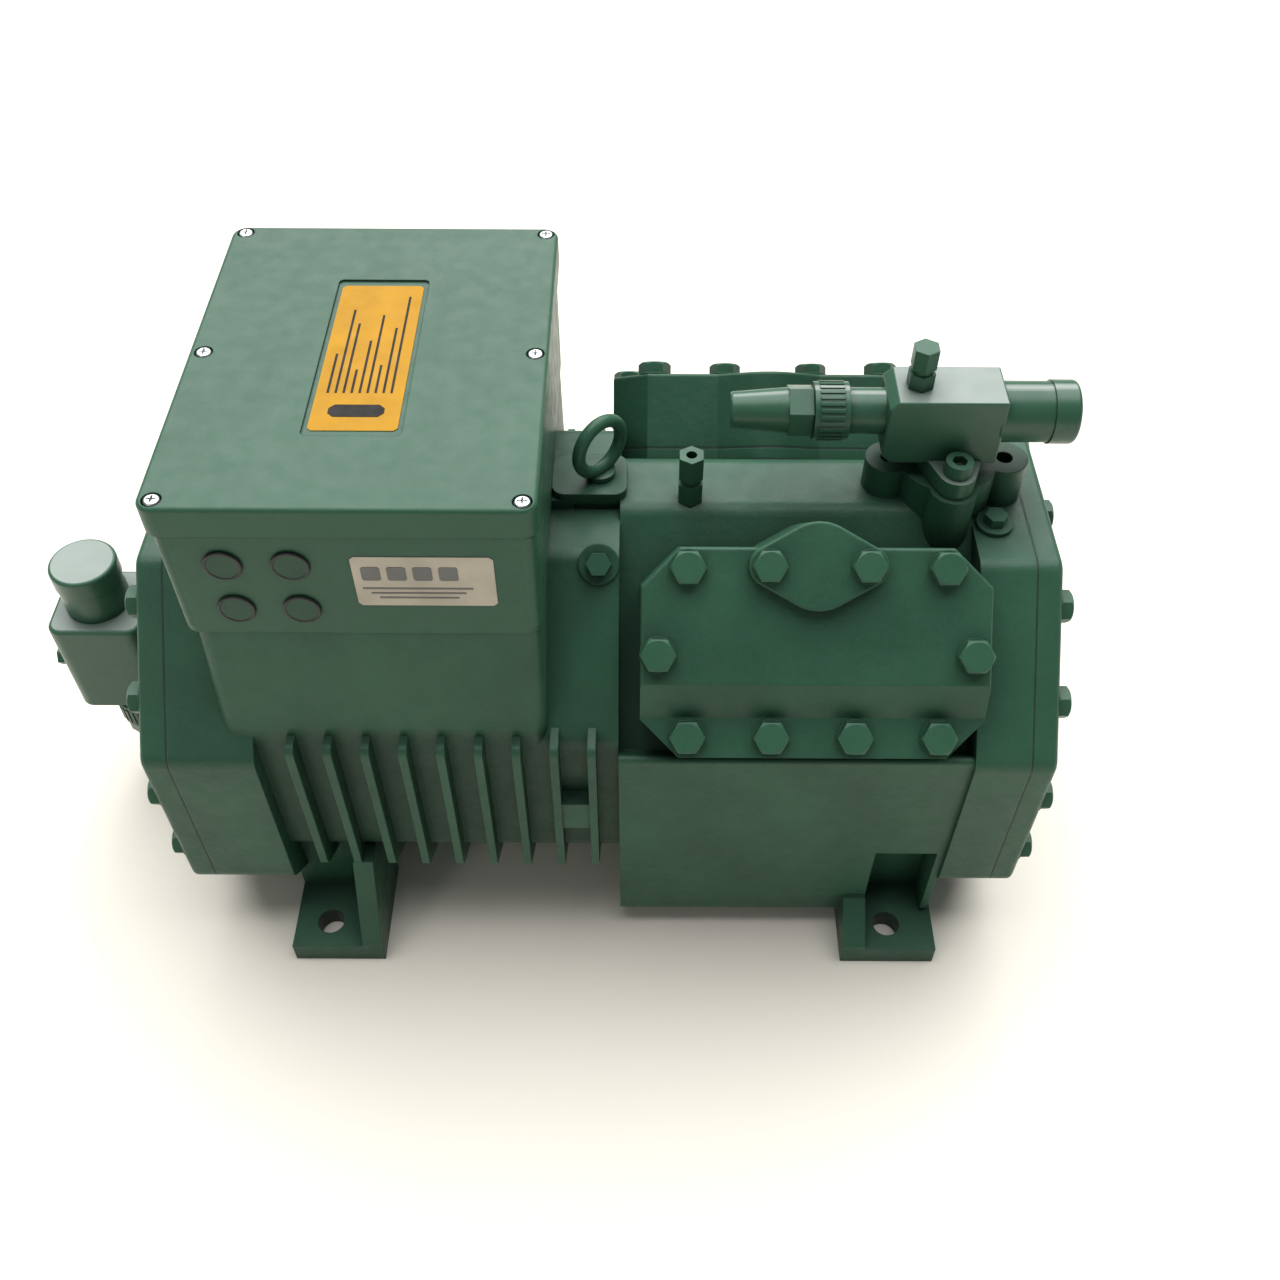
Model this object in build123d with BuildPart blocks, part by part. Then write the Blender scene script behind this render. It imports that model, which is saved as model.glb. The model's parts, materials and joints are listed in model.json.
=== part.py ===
from build123d import *
import os
from math import sqrt

# Semi-hermetic reciprocating compressor: four cylinders in a 90 degree V over a crankshaft,
# with the motor inside the same gas-tight casting.
# Millimetres. The origin is the centre of the four foot holes, on the base plane.
# +X runs along the crankshaft, from the motor end to the drive end. +Z is up, -Y is the front.

os.makedirs("parts", exist_ok=True)

# ---------------------------------------------------------------- driving dimensions
# Feet
HOLE_PITCH_X, HOLE_PITCH_Y, HOLE_R = 381, 305, 9
FOOT_FRONT, FOOT_THICK = 172, 17
MOTOR_FOOT_X = (-214, -157)
DRIVE_FOOT_X = (159, 222)

# Crankshaft and cylinders
AXIS_Z = 144
BORE_R = 30
CRANK_R = 21
ROD_LENGTH = 72
ROD_PITCH = 18
ROD_WIDTH = 17.6
THROW_X = (64.5, 156.5)
CRANKPIN_R, JOURNAL_R, SHAFT_R = 17, 20, 18
BUSH_R = 24
MOTOR_BUSH_X, DRIVE_BUSH_X = (-14, 28), (206, 238)
PISTON_GAP = 0.08
PIN_R = 9
CROWN_ABOVE_PIN, SKIRT_BELOW_PIN = 22.5, 16
RUNNING_GAP = 0.04

# Distances from the crank axis, square to a cylinder deck
DECK_N = 115
GASKET = 1
PLATE_THICK = 6.5
HEAD_BASE_N = DECK_N + PLATE_THICK + 2 * GASKET
HEAD_BAND_N = 157
HEAD_TOP_N = 170
PORT_COVER_N = 178

# Cylinder heads, in the plane of the deck
HEAD_HALF_X, HEAD_HALF_S, HEAD_CORNER = 99, 60.5, 22
STEP_TOP_S, STEP_FOOT_S = -17, -37
PORT_S, PORT_BOLT_X = 50, 27.5
TOP_BOLTS = [(-72.5, 49), (72.5, 49), (-89, 0), (89, 0)]
BAND_BOLTS = [(-72, -48), (-24, -48), (24, -48), (72, -48)]
PORT_BOLTS = [(-PORT_BOLT_X, PORT_S), (PORT_BOLT_X, PORT_S)]
BOLT_R, BOLT_ACROSS, BOLT_HEAD = 6, 18, 8
BOLT_HOLE_R = 6.5
THREAD_DEPTH = 14

# Casting
END_HALF_Y, END_FACE_N = 146.5, 138
END_WALL_LOW_Z, END_TOP_Z, END_BOTTOM_Z = 66, 278, 24
MOTOR_COVER_X, MOTOR_SEAM_X, MOTOR_BLOCK_X = -275, -258, -207
CRANKCASE_X = 8
DRIVE_BLOCK_X, DRIVE_SEAM_X, DRIVE_COVER_X = 219, 252, 268
COVER_GASKET = 1
RIDGE_Z = 285
CRANKCASE_HALF_Y, CRANKCASE_BOTTOM_Z = 143.5, 15
MOTOR_CASING_N, MOTOR_BORE_R = 134.5, 104
FIN_COUNT, FIN_PITCH, FIN_THICK, FIRST_FIN_X = 9, 22.1, 5, -187
FIN_TOP_Z, FIN_FOOT_Z = 206, 82
NECK_X, NECK_TOP_Y = (-224, -34), 123
NECK_TOP_Z, NECK_LIP_Z = 286, 212

# Terminal box
BOX_X, BOX_Y, BOX_TOP_Z, BOX_WALL = (-229, -33), 124, 359, 5
SEAL_THICK = 2
LID_X, LID_Y, LID_TOP_Z, LID_WALL = (-230, -30), 126.3, 380, 4
LID_SCREWS = [(x, y) for x in (-222.5, -38.5) for y in (-119, 0, 119)]
KNOCKOUTS = [(x, z) for x in (-195.5, -160.5) for z in (306, 339)]

# Fittings: places in their own planes
EYE_X, EYE_SEAT_Z, EYE_RING_R, EYE_WIRE_R = -4, 291, 17, 4
TAB_THICK, TAB_HALF_Y = 8, 18
PRESSURE_PORT = [(50, -14)]
RIDGE_PLUG, RIDGE_PLUG_Z = [(232, -29)], 281
SLANTED_PLUG, SLANTED_PLUG_N = [(-4, 50)], 136.5
SIGHT_GLASS = [(-112, 78)]
REAR_PLUGS = [(-60, 110), (-60, 42)]

# Discharge valve: its axis runs along X. Suction valve: its axis runs along Z.
DISCHARGE_Z, DISCHARGE_SEAT_X = 341, 203
PEDESTAL_Z = 306
SUCTION_X, SUCTION_PORT_Z = -343, 137
SPINDLE_R = 7


# ---------------------------------------------------------------- shared geometry
def bank_plane(side):
    """Plane of a cylinder bank: its origin is on the crank axis and its normal points along
    the cylinders. side is -1 for the front bank and 1 for the rear one."""
    return Plane(origin=(0, 0, AXIS_Z), x_dir=(-side, 0, 0), z_dir=(0, side, 1))


def section_of(plane):
    """Plane across a bank: local x runs up the deck, local y runs along the cylinders."""
    return Plane(origin=plane.origin, x_dir=plane.y_dir, z_dir=plane.x_dir)


rear_wall = Plane(origin=(0, END_HALF_Y, 0), x_dir=(-1, 0, 0), z_dir=(0, 1, 0))
HALF_BANK = (THROW_X[1] - THROW_X[0]) / 2
BANKS = {
    "front": (bank_plane(-1), sum(THROW_X) / 2 + ROD_PITCH / 2),
    "rear": (bank_plane(1), -(sum(THROW_X) / 2 - ROD_PITCH / 2)),
}

# Each cylinder: its bank's side, its throw, and whether the crankpin stands up (1) or down (-1)
CYLINDERS = [(-1, 0, 1), (1, 0, 1), (-1, 1, -1), (1, 1, -1)]
PIN_REST_N = CRANK_R / sqrt(2) + sqrt(ROD_LENGTH ** 2 - CRANK_R ** 2 / 2)
PIN_LOW_N = -CRANK_R / sqrt(2) + sqrt(ROD_LENGTH ** 2 - CRANK_R ** 2 / 2)


def end_outline(x, corner=12):
    """Eight-sided outline of the end blocks and covers, at a distance along the crank axis."""
    top_y = END_FACE_N * sqrt(2) - (END_TOP_Z - AXIS_Z)
    wall_top = AXIS_Z + END_FACE_N * sqrt(2) - END_HALF_Y
    low_y = END_HALF_Y - (END_WALL_LOW_Z - END_BOTTOM_Z)
    half = [(low_y, END_BOTTOM_Z), (END_HALF_Y, END_WALL_LOW_Z), (END_HALF_Y, wall_top), (top_y, END_TOP_Z)]
    with BuildSketch(Plane.YZ.offset(x)) as outline:
        with BuildLine():
            Polyline(*half, *[(-y, z) for y, z in reversed(half)], close=True)
        make_face()
        fillet(outline.vertices(), corner)
    return outline.sketch


def cover_bolt_places():
    """Bolt centres (y, z) round an end cover."""
    half = [(69, 250), (110, 210), (132.5, 146), (132.5, 89), (92, 44), (38, 36)]
    return half + [(-y, z) for y, z in half] + [(0, 258)]


def port_shape(u, grow=0):
    """Long rounded rhombus of a port cover, drawn flat."""
    with BuildSketch() as shape:
        with Locations((u, PORT_S)):
            Circle(25 + grow)
        with Locations((u - PORT_BOLT_X, PORT_S), (u + PORT_BOLT_X, PORT_S)):
            Circle(11.5 + grow)
        make_hull()
    return shape.sketch


def port_outline(plane, u, n):
    """Outline of a port cover, on a plane n along the cylinders."""
    with BuildSketch(plane.offset(n)) as outline:
        add(port_shape(u))
    return outline.sketch


def head_outline(plane, u, n):
    """Outline of a cylinder head with its port boss, on a plane n along the cylinders."""
    with BuildSketch(plane.offset(n)) as outline:
        with Locations((u, 0)):
            Rectangle(2 * HEAD_HALF_X, 2 * HEAD_HALF_S)
        chamfer(outline.vertices(), HEAD_CORNER)
        add(port_shape(u))
    return outline.sketch


def circles(plane, places, radius):
    """Equal circles on a plane."""
    with BuildSketch(plane) as rounds:
        with Locations(*places):
            Circle(radius)
    return rounds.sketch


def hexagons(plane, places, across, turn=0):
    """Equal hexagons on a plane, measured across their flats."""
    with BuildSketch(plane) as hexes:
        with Locations(*places):
            RegularPolygon(across / 2, 6, major_radius=False, rotation=turn)
    return hexes.sketch


def block(x_range, y_range, z_range, mode=Mode.ADD):
    """A box between two values along each axis, in the part being built."""
    spans = (x_range, y_range, z_range)
    middle = [sum(span) / 2 for span in spans]
    with Locations(Location(middle)):
        Box(*[span[1] - span[0] for span in spans], mode=mode)


def rod(plane, places, radius, start, end, mode=Mode.ADD):
    """Round bars square to a plane, between two heights over it."""
    extrude(circles(plane.offset(start), places, radius), amount=end - start, mode=mode)


def hex_head(across, head):
    """A hexagon bolt head over the origin, with a washer face and a chamfered top."""
    with BuildPart() as solid:
        extrude(hexagons(Plane.XY, [(0, 0)], across), amount=head)
        with BuildSketch(Plane.XZ) as profile:
            with BuildLine():
                Polyline((0, 0), (across, 0), (across / 2 - 0.5, head), (0, head), close=True)
            make_face()
        revolve(profile.sketch, axis=Axis.Z, mode=Mode.INTERSECT)
        Cylinder(across / 2 + 1.5, 1, align=(Align.CENTER, Align.CENTER, Align.MIN))
    return solid.part


BIG_HEAD, SMALL_HEAD = hex_head(BOLT_ACROSS, BOLT_HEAD), hex_head(17, 7)


def hex_bolts(plane, places, seat, tip, head=BIG_HEAD, radius=BOLT_R):
    """Hexagon-head bolts: heads seated on a plane at one height, shanks down to another."""
    add([head.moved(plane.location * Location((u, v, seat))) for u, v in places])
    rod(plane, places, radius, tip, seat)


def shifted(places, u):
    """Places of a head's bolts, moved to the centre of its bank."""
    return [(u + x, s) for x, s in places]


def bank_cylinders(u):
    """Centres of a bank's two cylinders, in its plane."""
    return [(u - HALF_BANK, 0), (u + HALF_BANK, 0)]


# ---------------------------------------------------------------- housing
def crankcase_outline(x):
    """Section of the crankcase: front and rear walls, two decks and the ridge between them."""
    ridge_y = DECK_N * sqrt(2) - (RIDGE_Z - AXIS_Z)
    deck_foot_s = HEAD_HALF_S + 2.5
    foot_y, foot_z = (DECK_N + deck_foot_s) / sqrt(2), AXIS_Z + (DECK_N - deck_foot_s) / sqrt(2)
    ledge_z = foot_z + CRANKCASE_HALF_Y - foot_y
    half = [
        (CRANKCASE_HALF_Y, CRANKCASE_BOTTOM_Z), (CRANKCASE_HALF_Y, ledge_z),
        (foot_y, foot_z), (ridge_y, RIDGE_Z),
    ]
    with BuildSketch(Plane.YZ.offset(x)) as outline:
        with BuildLine():
            Polyline(*half, *[(-y, z) for y, z in reversed(half)], close=True)
        make_face()
        fillet(outline.vertices().group_by(Axis.Y)[-2], 3)
        fillet(outline.vertices().group_by(Axis.Y)[-1], 14)
        fillet(outline.vertices().group_by(Axis.Y)[0], 10)
    return outline.sketch


def motor_casing_outline(x):
    """Regular eight-sided section of the motor casing."""
    with BuildSketch(Plane.YZ.offset(x)) as outline:
        with Locations((0, AXIS_Z)):
            RegularPolygon(MOTOR_CASING_N, 8, major_radius=False, rotation=22.5)
        fillet(outline.vertices(), 12)
    return outline.sketch


def foot(x_range, side, gusset_x, gusset_z, leg_y, leg_z):
    """One foot: a pad with a leg up to the casting and a gusset beside the hole."""
    outer = side * FOOT_FRONT
    block(x_range, sorted((outer, side * 100)), (0, FOOT_THICK))
    block(x_range, sorted((side * leg_y, side * 100)), (0, leg_z))
    with BuildSketch(Plane.YZ.offset(gusset_x[0])) as gusset:
        with BuildLine():
            Polyline((outer, 0), (outer, FOOT_THICK + 3), (side * END_HALF_Y, gusset_z),
                     (side * 100, gusset_z), (side * 100, 0), close=True)
        make_face()
    extrude(gusset.sketch, amount=gusset_x[1] - gusset_x[0])


with BuildPart() as housing:
    for start, end in ((MOTOR_SEAM_X, MOTOR_BLOCK_X), (DRIVE_BLOCK_X, DRIVE_SEAM_X)):
        extrude(end_outline(start), amount=end - start)
    extrude(motor_casing_outline(MOTOR_BLOCK_X), amount=CRANKCASE_X - MOTOR_BLOCK_X)
    extrude(crankcase_outline(CRANKCASE_X), amount=DRIVE_BLOCK_X - CRANKCASE_X)

    # Neck under the terminal box, wider at its foot
    with BuildSketch(Plane.XY.offset(NECK_TOP_Z)) as neck_top:
        with Locations((sum(NECK_X) / 2, 0)):
            RectangleRounded(NECK_X[1] - NECK_X[0], 2 * NECK_TOP_Y, 8)
    with BuildSketch(Plane.XY.offset(NECK_LIP_Z)) as neck_foot:
        with Locations((sum(NECK_X) / 2, 0)):
            RectangleRounded(NECK_X[1] - NECK_X[0], 2 * MOTOR_CASING_N, 8)
    loft([neck_top.sketch, neck_foot.sketch])
    extrude(neck_foot.sketch, amount=AXIS_Z - NECK_LIP_Z)

    # Cooling fins on the motor barrel, and the bridge between the last two
    with BuildSketch(Plane.YZ.offset(FIRST_FIN_X)) as fin:
        for side in (-1, 1):
            with BuildLine():
                Polyline((side * 60, 70), (side * 118, 62), (side * END_HALF_Y, FIN_FOOT_Z),
                         (side * END_HALF_Y, FIN_TOP_Z), (side * 60, FIN_TOP_Z), close=True)
            make_face()
        for tips in (fin.vertices().group_by(Axis.X)[0], fin.vertices().group_by(Axis.X)[-1]):
            fillet(tips, 6)
    for i in range(FIN_COUNT):
        fin_x = i * FIN_PITCH
        extrude(fin.sketch.moved(Location((fin_x, 0, 0))), amount=FIN_THICK)
    bridge_x = FIRST_FIN_X + (FIN_COUNT - 2) * FIN_PITCH
    for side in (-1, 1):
        block((bridge_x, bridge_x + FIN_PITCH + 1), sorted((side * 120, side * (END_HALF_Y - 1.5))), (124, 150))

    # Tab for the lifting eye, bosses for the plugs and the lobed seat of the discharge valve
    with BuildSketch(Plane.XY.offset(EYE_SEAT_Z - TAB_THICK)) as tab:
        with Locations((-10.5, 0)):
            RectangleRounded(45, 2 * TAB_HALF_Y, 8)
    extrude(tab.sketch, amount=TAB_THICK)
    block((-45, -20), (-TAB_HALF_Y, TAB_HALF_Y), (240, NECK_TOP_Z))
    block((-40, 9), (2 - TAB_HALF_Y, TAB_HALF_Y - 2), (240, EYE_SEAT_Z - TAB_THICK))
    rod(bank_plane(-1), SLANTED_PLUG, 12, 95, SLANTED_PLUG_N)
    lobes = [(DISCHARGE_SEAT_X + x, y) for x, y in ((-34.5, 0), (34.5, 0), (0, -27), (0, 27))]
    rod(Plane.XY, lobes, 14, 265, PEDESTAL_Z)
    rod(Plane.XY, [(DISCHARGE_SEAT_X, 0)], 30, 265, PEDESTAL_Z)
    rod(Plane.XY, RIDGE_PLUG, 11, 270, RIDGE_PLUG_Z)

    # The barrel is flat underneath
    block((MOTOR_BLOCK_X, CRANKCASE_X), (-90, 90), (0, CRANKCASE_BOTTOM_Z), mode=Mode.SUBTRACT)

    # Feet
    for side in (-1, 1):
        foot(MOTOR_FOOT_X, side, (-166, -153), 84, 122, 90)
        foot(DRIVE_FOOT_X, side, (159, 174), 40, 124, 95)

    # Motor chamber, crank chamber and sump
    rod(Plane.YZ, [(0, AXIS_Z)], MOTOR_BORE_R, MOTOR_SEAM_X, -16, mode=Mode.SUBTRACT)
    rod(Plane.YZ, [(0, AXIS_Z)], BUSH_R, -16, 30, mode=Mode.SUBTRACT)
    rod(Plane.YZ, [(0, AXIS_Z)], 60, 30, 192, mode=Mode.SUBTRACT)
    rod(Plane.YZ, [(0, AXIS_Z)], 76, 192, DRIVE_SEAM_X, mode=Mode.SUBTRACT)
    block((30, 192), (-100, 100), (32, 118), mode=Mode.SUBTRACT)

    # Pockets over the feet at the drive end, and the foot holes
    for side in (-1, 1):
        block((174, 214), sorted((side * 120, side * 150)), (FOOT_THICK, 93), mode=Mode.SUBTRACT)
    foot_holes = [(x * HOLE_PITCH_X / 2, y * HOLE_PITCH_Y / 2) for x in (-1, 1) for y in (-1, 1)]
    rod(Plane.XY, foot_holes, HOLE_R, -1, 40, mode=Mode.SUBTRACT)

    # Hollow of the neck, and the cable way from the terminal box down to the motor
    block((NECK_X[0] + 16, NECK_X[1] - 16), (-110, 110), (262, NECK_TOP_Z), mode=Mode.SUBTRACT)
    block((-165, -105), (-26, 26), (200, NECK_TOP_Z), mode=Mode.SUBTRACT)

    # Cylinder bores and bolt threads in the decks, with nothing left standing where a head sits
    for plane, u in BANKS.values():
        extrude(head_outline(plane, u, DECK_N), amount=80, mode=Mode.SUBTRACT)
        rod(plane, bank_cylinders(u), BORE_R, 30, DECK_N, mode=Mode.SUBTRACT)
        threads = shifted(TOP_BOLTS + BAND_BOLTS, u)
        rod(plane, threads, BOLT_R, DECK_N - THREAD_DEPTH, DECK_N, mode=Mode.SUBTRACT)

    # Threads for the cover bolts, the eye, the plugs and the valve screws
    cover_threads = cover_bolt_places()
    rod(Plane.YZ, cover_threads, BOLT_R, MOTOR_SEAM_X, MOTOR_SEAM_X + 20, mode=Mode.SUBTRACT)
    rod(Plane.YZ, cover_threads, BOLT_R, DRIVE_SEAM_X - 20, DRIVE_SEAM_X, mode=Mode.SUBTRACT)
    rod(Plane.XY, [(EYE_X, 0)], 5, EYE_SEAT_Z - 18, EYE_SEAT_Z, mode=Mode.SUBTRACT)
    rod(Plane.XY, PRESSURE_PORT, 5, RIDGE_Z - 14, RIDGE_Z, mode=Mode.SUBTRACT)
    rod(Plane.XY, RIDGE_PLUG, 5, RIDGE_PLUG_Z - 9, RIDGE_PLUG_Z, mode=Mode.SUBTRACT)
    rod(bank_plane(-1), SLANTED_PLUG, 5, SLANTED_PLUG_N - 10, SLANTED_PLUG_N, mode=Mode.SUBTRACT)
    rod(Plane.XY, lobes, 5, PEDESTAL_Z - 18, PEDESTAL_Z, mode=Mode.SUBTRACT)
    rod(Plane.XY, [(DISCHARGE_SEAT_X, 0)], 13, PEDESTAL_Z - 25, PEDESTAL_Z, mode=Mode.SUBTRACT)

    # Ports in the rear wall: oil sight glass, filler plug and drain plug
    rod(rear_wall, SIGHT_GLASS, 19, -60, 1, mode=Mode.SUBTRACT)
    rod(rear_wall, REAR_PLUGS, 9, -60, 1, mode=Mode.SUBTRACT)
housing.part.label = "housing"
export_step(housing.part, "parts/housing.step")

# ---------------------------------------------------------------- end covers
with BuildPart() as motor_end_cover:
    extrude(end_outline(MOTOR_COVER_X), amount=MOTOR_SEAM_X - COVER_GASKET - MOTOR_COVER_X)
    fillet(motor_end_cover.faces().sort_by(Axis.X)[0].outer_wire().edges(), 4)
    rod(Plane.YZ, [(0, AXIS_Z)], 90, MOTOR_SEAM_X - COVER_GASKET - 7, MOTOR_SEAM_X, mode=Mode.SUBTRACT)
    rod(Plane.YZ, [(0, SUCTION_PORT_Z)], 18, MOTOR_COVER_X, MOTOR_SEAM_X, mode=Mode.SUBTRACT)
    rod(Plane.YZ, cover_bolt_places(), BOLT_HOLE_R, MOTOR_COVER_X, MOTOR_SEAM_X, mode=Mode.SUBTRACT)
    suction_threads = [(y, SUCTION_PORT_Z + z) for y in (-27, 27) for z in (-24, 24)]
    rod(Plane.YZ, suction_threads, 5, MOTOR_COVER_X, MOTOR_COVER_X + 8, mode=Mode.SUBTRACT)
motor_end_cover.part.label = "motor_end_cover"
export_step(motor_end_cover.part, "parts/motor_end_cover.step")

with BuildPart() as drive_end_cover:
    extrude(end_outline(DRIVE_SEAM_X + COVER_GASKET), amount=DRIVE_COVER_X - DRIVE_SEAM_X - COVER_GASKET)
    fillet(drive_end_cover.faces().sort_by(Axis.X)[-1].outer_wire().edges(), 4)
    rod(Plane.YZ, [(0, AXIS_Z)], 74, 246, DRIVE_SEAM_X + COVER_GASKET)
    rod(Plane.YZ, [(0, AXIS_Z)], 36, DRIVE_BUSH_X[0] - 2, 250)
    rod(Plane.YZ, [(0, AXIS_Z)], BUSH_R, DRIVE_BUSH_X[0] - 2, 246, mode=Mode.SUBTRACT)
    rod(Plane.YZ, cover_bolt_places(), BOLT_HOLE_R, DRIVE_SEAM_X, DRIVE_COVER_X, mode=Mode.SUBTRACT)
drive_end_cover.part.label = "drive_end_cover"
export_step(drive_end_cover.part, "parts/drive_end_cover.step")

with BuildPart() as end_cover_gaskets:
    for x, opening in ((MOTOR_SEAM_X - COVER_GASKET, MOTOR_BORE_R), (DRIVE_SEAM_X, 76)):
        extrude(end_outline(x), amount=COVER_GASKET)
        rod(Plane.YZ, [(0, AXIS_Z)], opening, x, x + COVER_GASKET, mode=Mode.SUBTRACT)
        rod(Plane.YZ, cover_bolt_places(), BOLT_HOLE_R, x, x + COVER_GASKET, mode=Mode.SUBTRACT)
end_cover_gaskets.part.label = "end_cover_gaskets"
export_step(end_cover_gaskets.part, "parts/end_cover_gaskets.step")

with BuildPart() as end_cover_bolts:
    hex_bolts(Plane.YZ, cover_bolt_places(), DRIVE_COVER_X, DRIVE_SEAM_X - 20)
    motor_side = Plane(origin=(0, 0, 0), x_dir=(0, 1, 0), z_dir=(-1, 0, 0))
    mirrored_places = [(y, -z) for y, z in cover_bolt_places()]
    hex_bolts(motor_side, mirrored_places, -MOTOR_COVER_X, -MOTOR_SEAM_X - 20)
end_cover_bolts.part.label = "end_cover_bolts"
export_step(end_cover_bolts.part, "parts/end_cover_bolts.step")

# ---------------------------------------------------------------- cylinder heads
HEAD_CAVITY_X, HEAD_CAVITY_S, HEAD_CAVITY_N = 78, 38, 150


def head_cavities(plane, u, n):
    """Suction and discharge chambers of a head, as a sketch on a plane n along the cylinders."""
    with BuildSketch(plane.offset(n)) as rooms:
        with Locations((u, 0)):
            RectangleRounded(2 * HEAD_CAVITY_X, 2 * HEAD_CAVITY_S, 10)
        with Locations((u, 6)):
            Rectangle(2 * HEAD_CAVITY_X, 7, mode=Mode.SUBTRACT)
    return rooms.sketch


for bank, (plane, u) in BANKS.items():
    # A flat top, a slanted step, a lower band for the long bolts, and a port boss
    with BuildPart() as cylinder_head:
        extrude(head_outline(plane, u, HEAD_BASE_N), amount=HEAD_TOP_N - HEAD_BASE_N)
        with BuildSketch(section_of(plane).offset(u - HEAD_HALF_X - 1)) as step:
            with BuildLine():
                Polyline((STEP_TOP_S, HEAD_TOP_N), (STEP_FOOT_S, HEAD_BAND_N), (-80, HEAD_BAND_N),
                         (-80, HEAD_TOP_N + 1), (STEP_TOP_S, HEAD_TOP_N + 1), close=True)
            make_face()
        extrude(amount=2 * HEAD_HALF_X + 2, mode=Mode.SUBTRACT)
        up = Axis(plane.origin, plane.z_dir)
        fillet(cylinder_head.faces().filter_by(up).sort_by(up)[-1].outer_wire().edges(), 2)
        extrude(head_cavities(plane, u, HEAD_BASE_N), amount=HEAD_CAVITY_N - HEAD_BASE_N, mode=Mode.SUBTRACT)
        holes = shifted(TOP_BOLTS + BAND_BOLTS, u)
        rod(plane, holes, BOLT_HOLE_R, HEAD_BASE_N, HEAD_TOP_N, mode=Mode.SUBTRACT)
        rod(plane, shifted(PORT_BOLTS, u), 5, HEAD_TOP_N - 18, HEAD_TOP_N, mode=Mode.SUBTRACT)
        if bank == "front":
            rod(plane, [(u, PORT_S)], 12, HEAD_TOP_N - 22, HEAD_TOP_N, mode=Mode.SUBTRACT)
    cylinder_head.part.label = f"cylinder_head_{bank}"
    export_step(cylinder_head.part, f"parts/cylinder_head_{bank}.step")

# Ports of one cylinder, from its centre
DISCHARGE_PORTS = [(-14, 17), (0, 20), (14, 17)]
SUCTION_PORTS = [(-14, -15), (0, -19), (14, -15)]


for bank, (plane, u) in BANKS.items():
    # Plate between a deck and its head, with each cylinder's suction and discharge ports
    low = DECK_N + GASKET
    with BuildPart() as valve_plate:
        extrude(head_outline(plane, u, low), amount=PLATE_THICK)
        rod(plane, shifted(TOP_BOLTS + BAND_BOLTS, u), BOLT_HOLE_R, low, low + PLATE_THICK, mode=Mode.SUBTRACT)
        for centre, _ in bank_cylinders(u):
            rod(plane, shifted(DISCHARGE_PORTS, centre), 4, low, low + PLATE_THICK, mode=Mode.SUBTRACT)
            rod(plane, shifted(SUCTION_PORTS, centre), 5, low, low + PLATE_THICK, mode=Mode.SUBTRACT)
    valve_plate.part.label = f"valve_plate_{bank}"
    export_step(valve_plate.part, f"parts/valve_plate_{bank}.step")

with BuildPart() as head_gaskets:
    for plane, u in BANKS.values():
        extrude(head_outline(plane, u, DECK_N), amount=GASKET)
        rod(plane, bank_cylinders(u), BORE_R + 0.5, DECK_N, DECK_N + GASKET, mode=Mode.SUBTRACT)
        extrude(head_outline(plane, u, HEAD_BASE_N - GASKET), amount=GASKET)
        extrude(head_cavities(plane, u, HEAD_BASE_N - GASKET), amount=GASKET, mode=Mode.SUBTRACT)
        holes = shifted(TOP_BOLTS + BAND_BOLTS, u)
        rod(plane, holes, BOLT_HOLE_R, DECK_N, HEAD_BASE_N, mode=Mode.SUBTRACT)
head_gaskets.part.label = "head_gaskets"
export_step(head_gaskets.part, "parts/head_gaskets.step")

REED = 0.5
with BuildPart() as valve_reeds:
    plate_top = DECK_N + GASKET + PLATE_THICK
    for plane, u in BANKS.values():
        for centre, _ in bank_cylinders(u):
            # Discharge reed on top of the plate, with its stop over it
            for height, thick, gap in ((plate_top, REED, 0), (plate_top + REED, 2, 1)):
                with BuildSketch(plane.offset(height)) as strip:
                    with Locations((centre, 19)):
                        SlotOverall(42 - 2 * gap, 14 - 2 * gap)
                extrude(strip.sketch, amount=thick)
            # Suction reed under the plate, inside the gasket's opening
            with BuildSketch(plane.offset(DECK_N + GASKET - REED)) as flap:
                with Locations((centre, -16)):
                    SlotOverall(44, 16)
            extrude(flap.sketch, amount=REED)
valve_reeds.part.label = "valve_reeds"
export_step(valve_reeds.part, "parts/valve_reeds.step")

with BuildPart() as head_bolts:
    for plane, u in BANKS.values():
        tip = DECK_N - THREAD_DEPTH
        hex_bolts(plane, shifted(TOP_BOLTS, u), HEAD_TOP_N, tip)
        hex_bolts(plane, shifted(BAND_BOLTS, u), HEAD_BAND_N, tip)
head_bolts.part.label = "head_bolts"
export_step(head_bolts.part, "parts/head_bolts.step")

front_plane, front_u = BANKS["front"]
with BuildPart() as port_cover:
    extrude(port_outline(front_plane, front_u, HEAD_TOP_N), amount=PORT_COVER_N - HEAD_TOP_N)
    front_up = Axis(front_plane.origin, front_plane.z_dir)
    fillet(port_cover.faces().filter_by(front_up).sort_by(front_up)[-1].edges(), 1.5)
    rod(front_plane, shifted(PORT_BOLTS, front_u), 5.5, HEAD_TOP_N, PORT_COVER_N, mode=Mode.SUBTRACT)
port_cover.part.label = "port_cover"
export_step(port_cover.part, "parts/port_cover.step")

# The front pair holds the port cover, and the rear pair plugs the same threads in the rear head
with BuildPart() as port_bolts:
    for (plane, u), seat in zip(BANKS.values(), (PORT_COVER_N, HEAD_TOP_N)):
        hex_bolts(plane, shifted(PORT_BOLTS, u), seat, HEAD_TOP_N - 18, head=SMALL_HEAD, radius=5)
port_bolts.part.label = "port_bolts"
export_step(port_bolts.part, "parts/port_bolts.step")

# ---------------------------------------------------------------- motor
STACK_X = (-200, -70)
STATOR_INNER_R, ROTOR_R = 53, 52.5
SLOTS, SLOT_WIDTH, SLOT_R = 24, 7, (57, 80)


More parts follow.
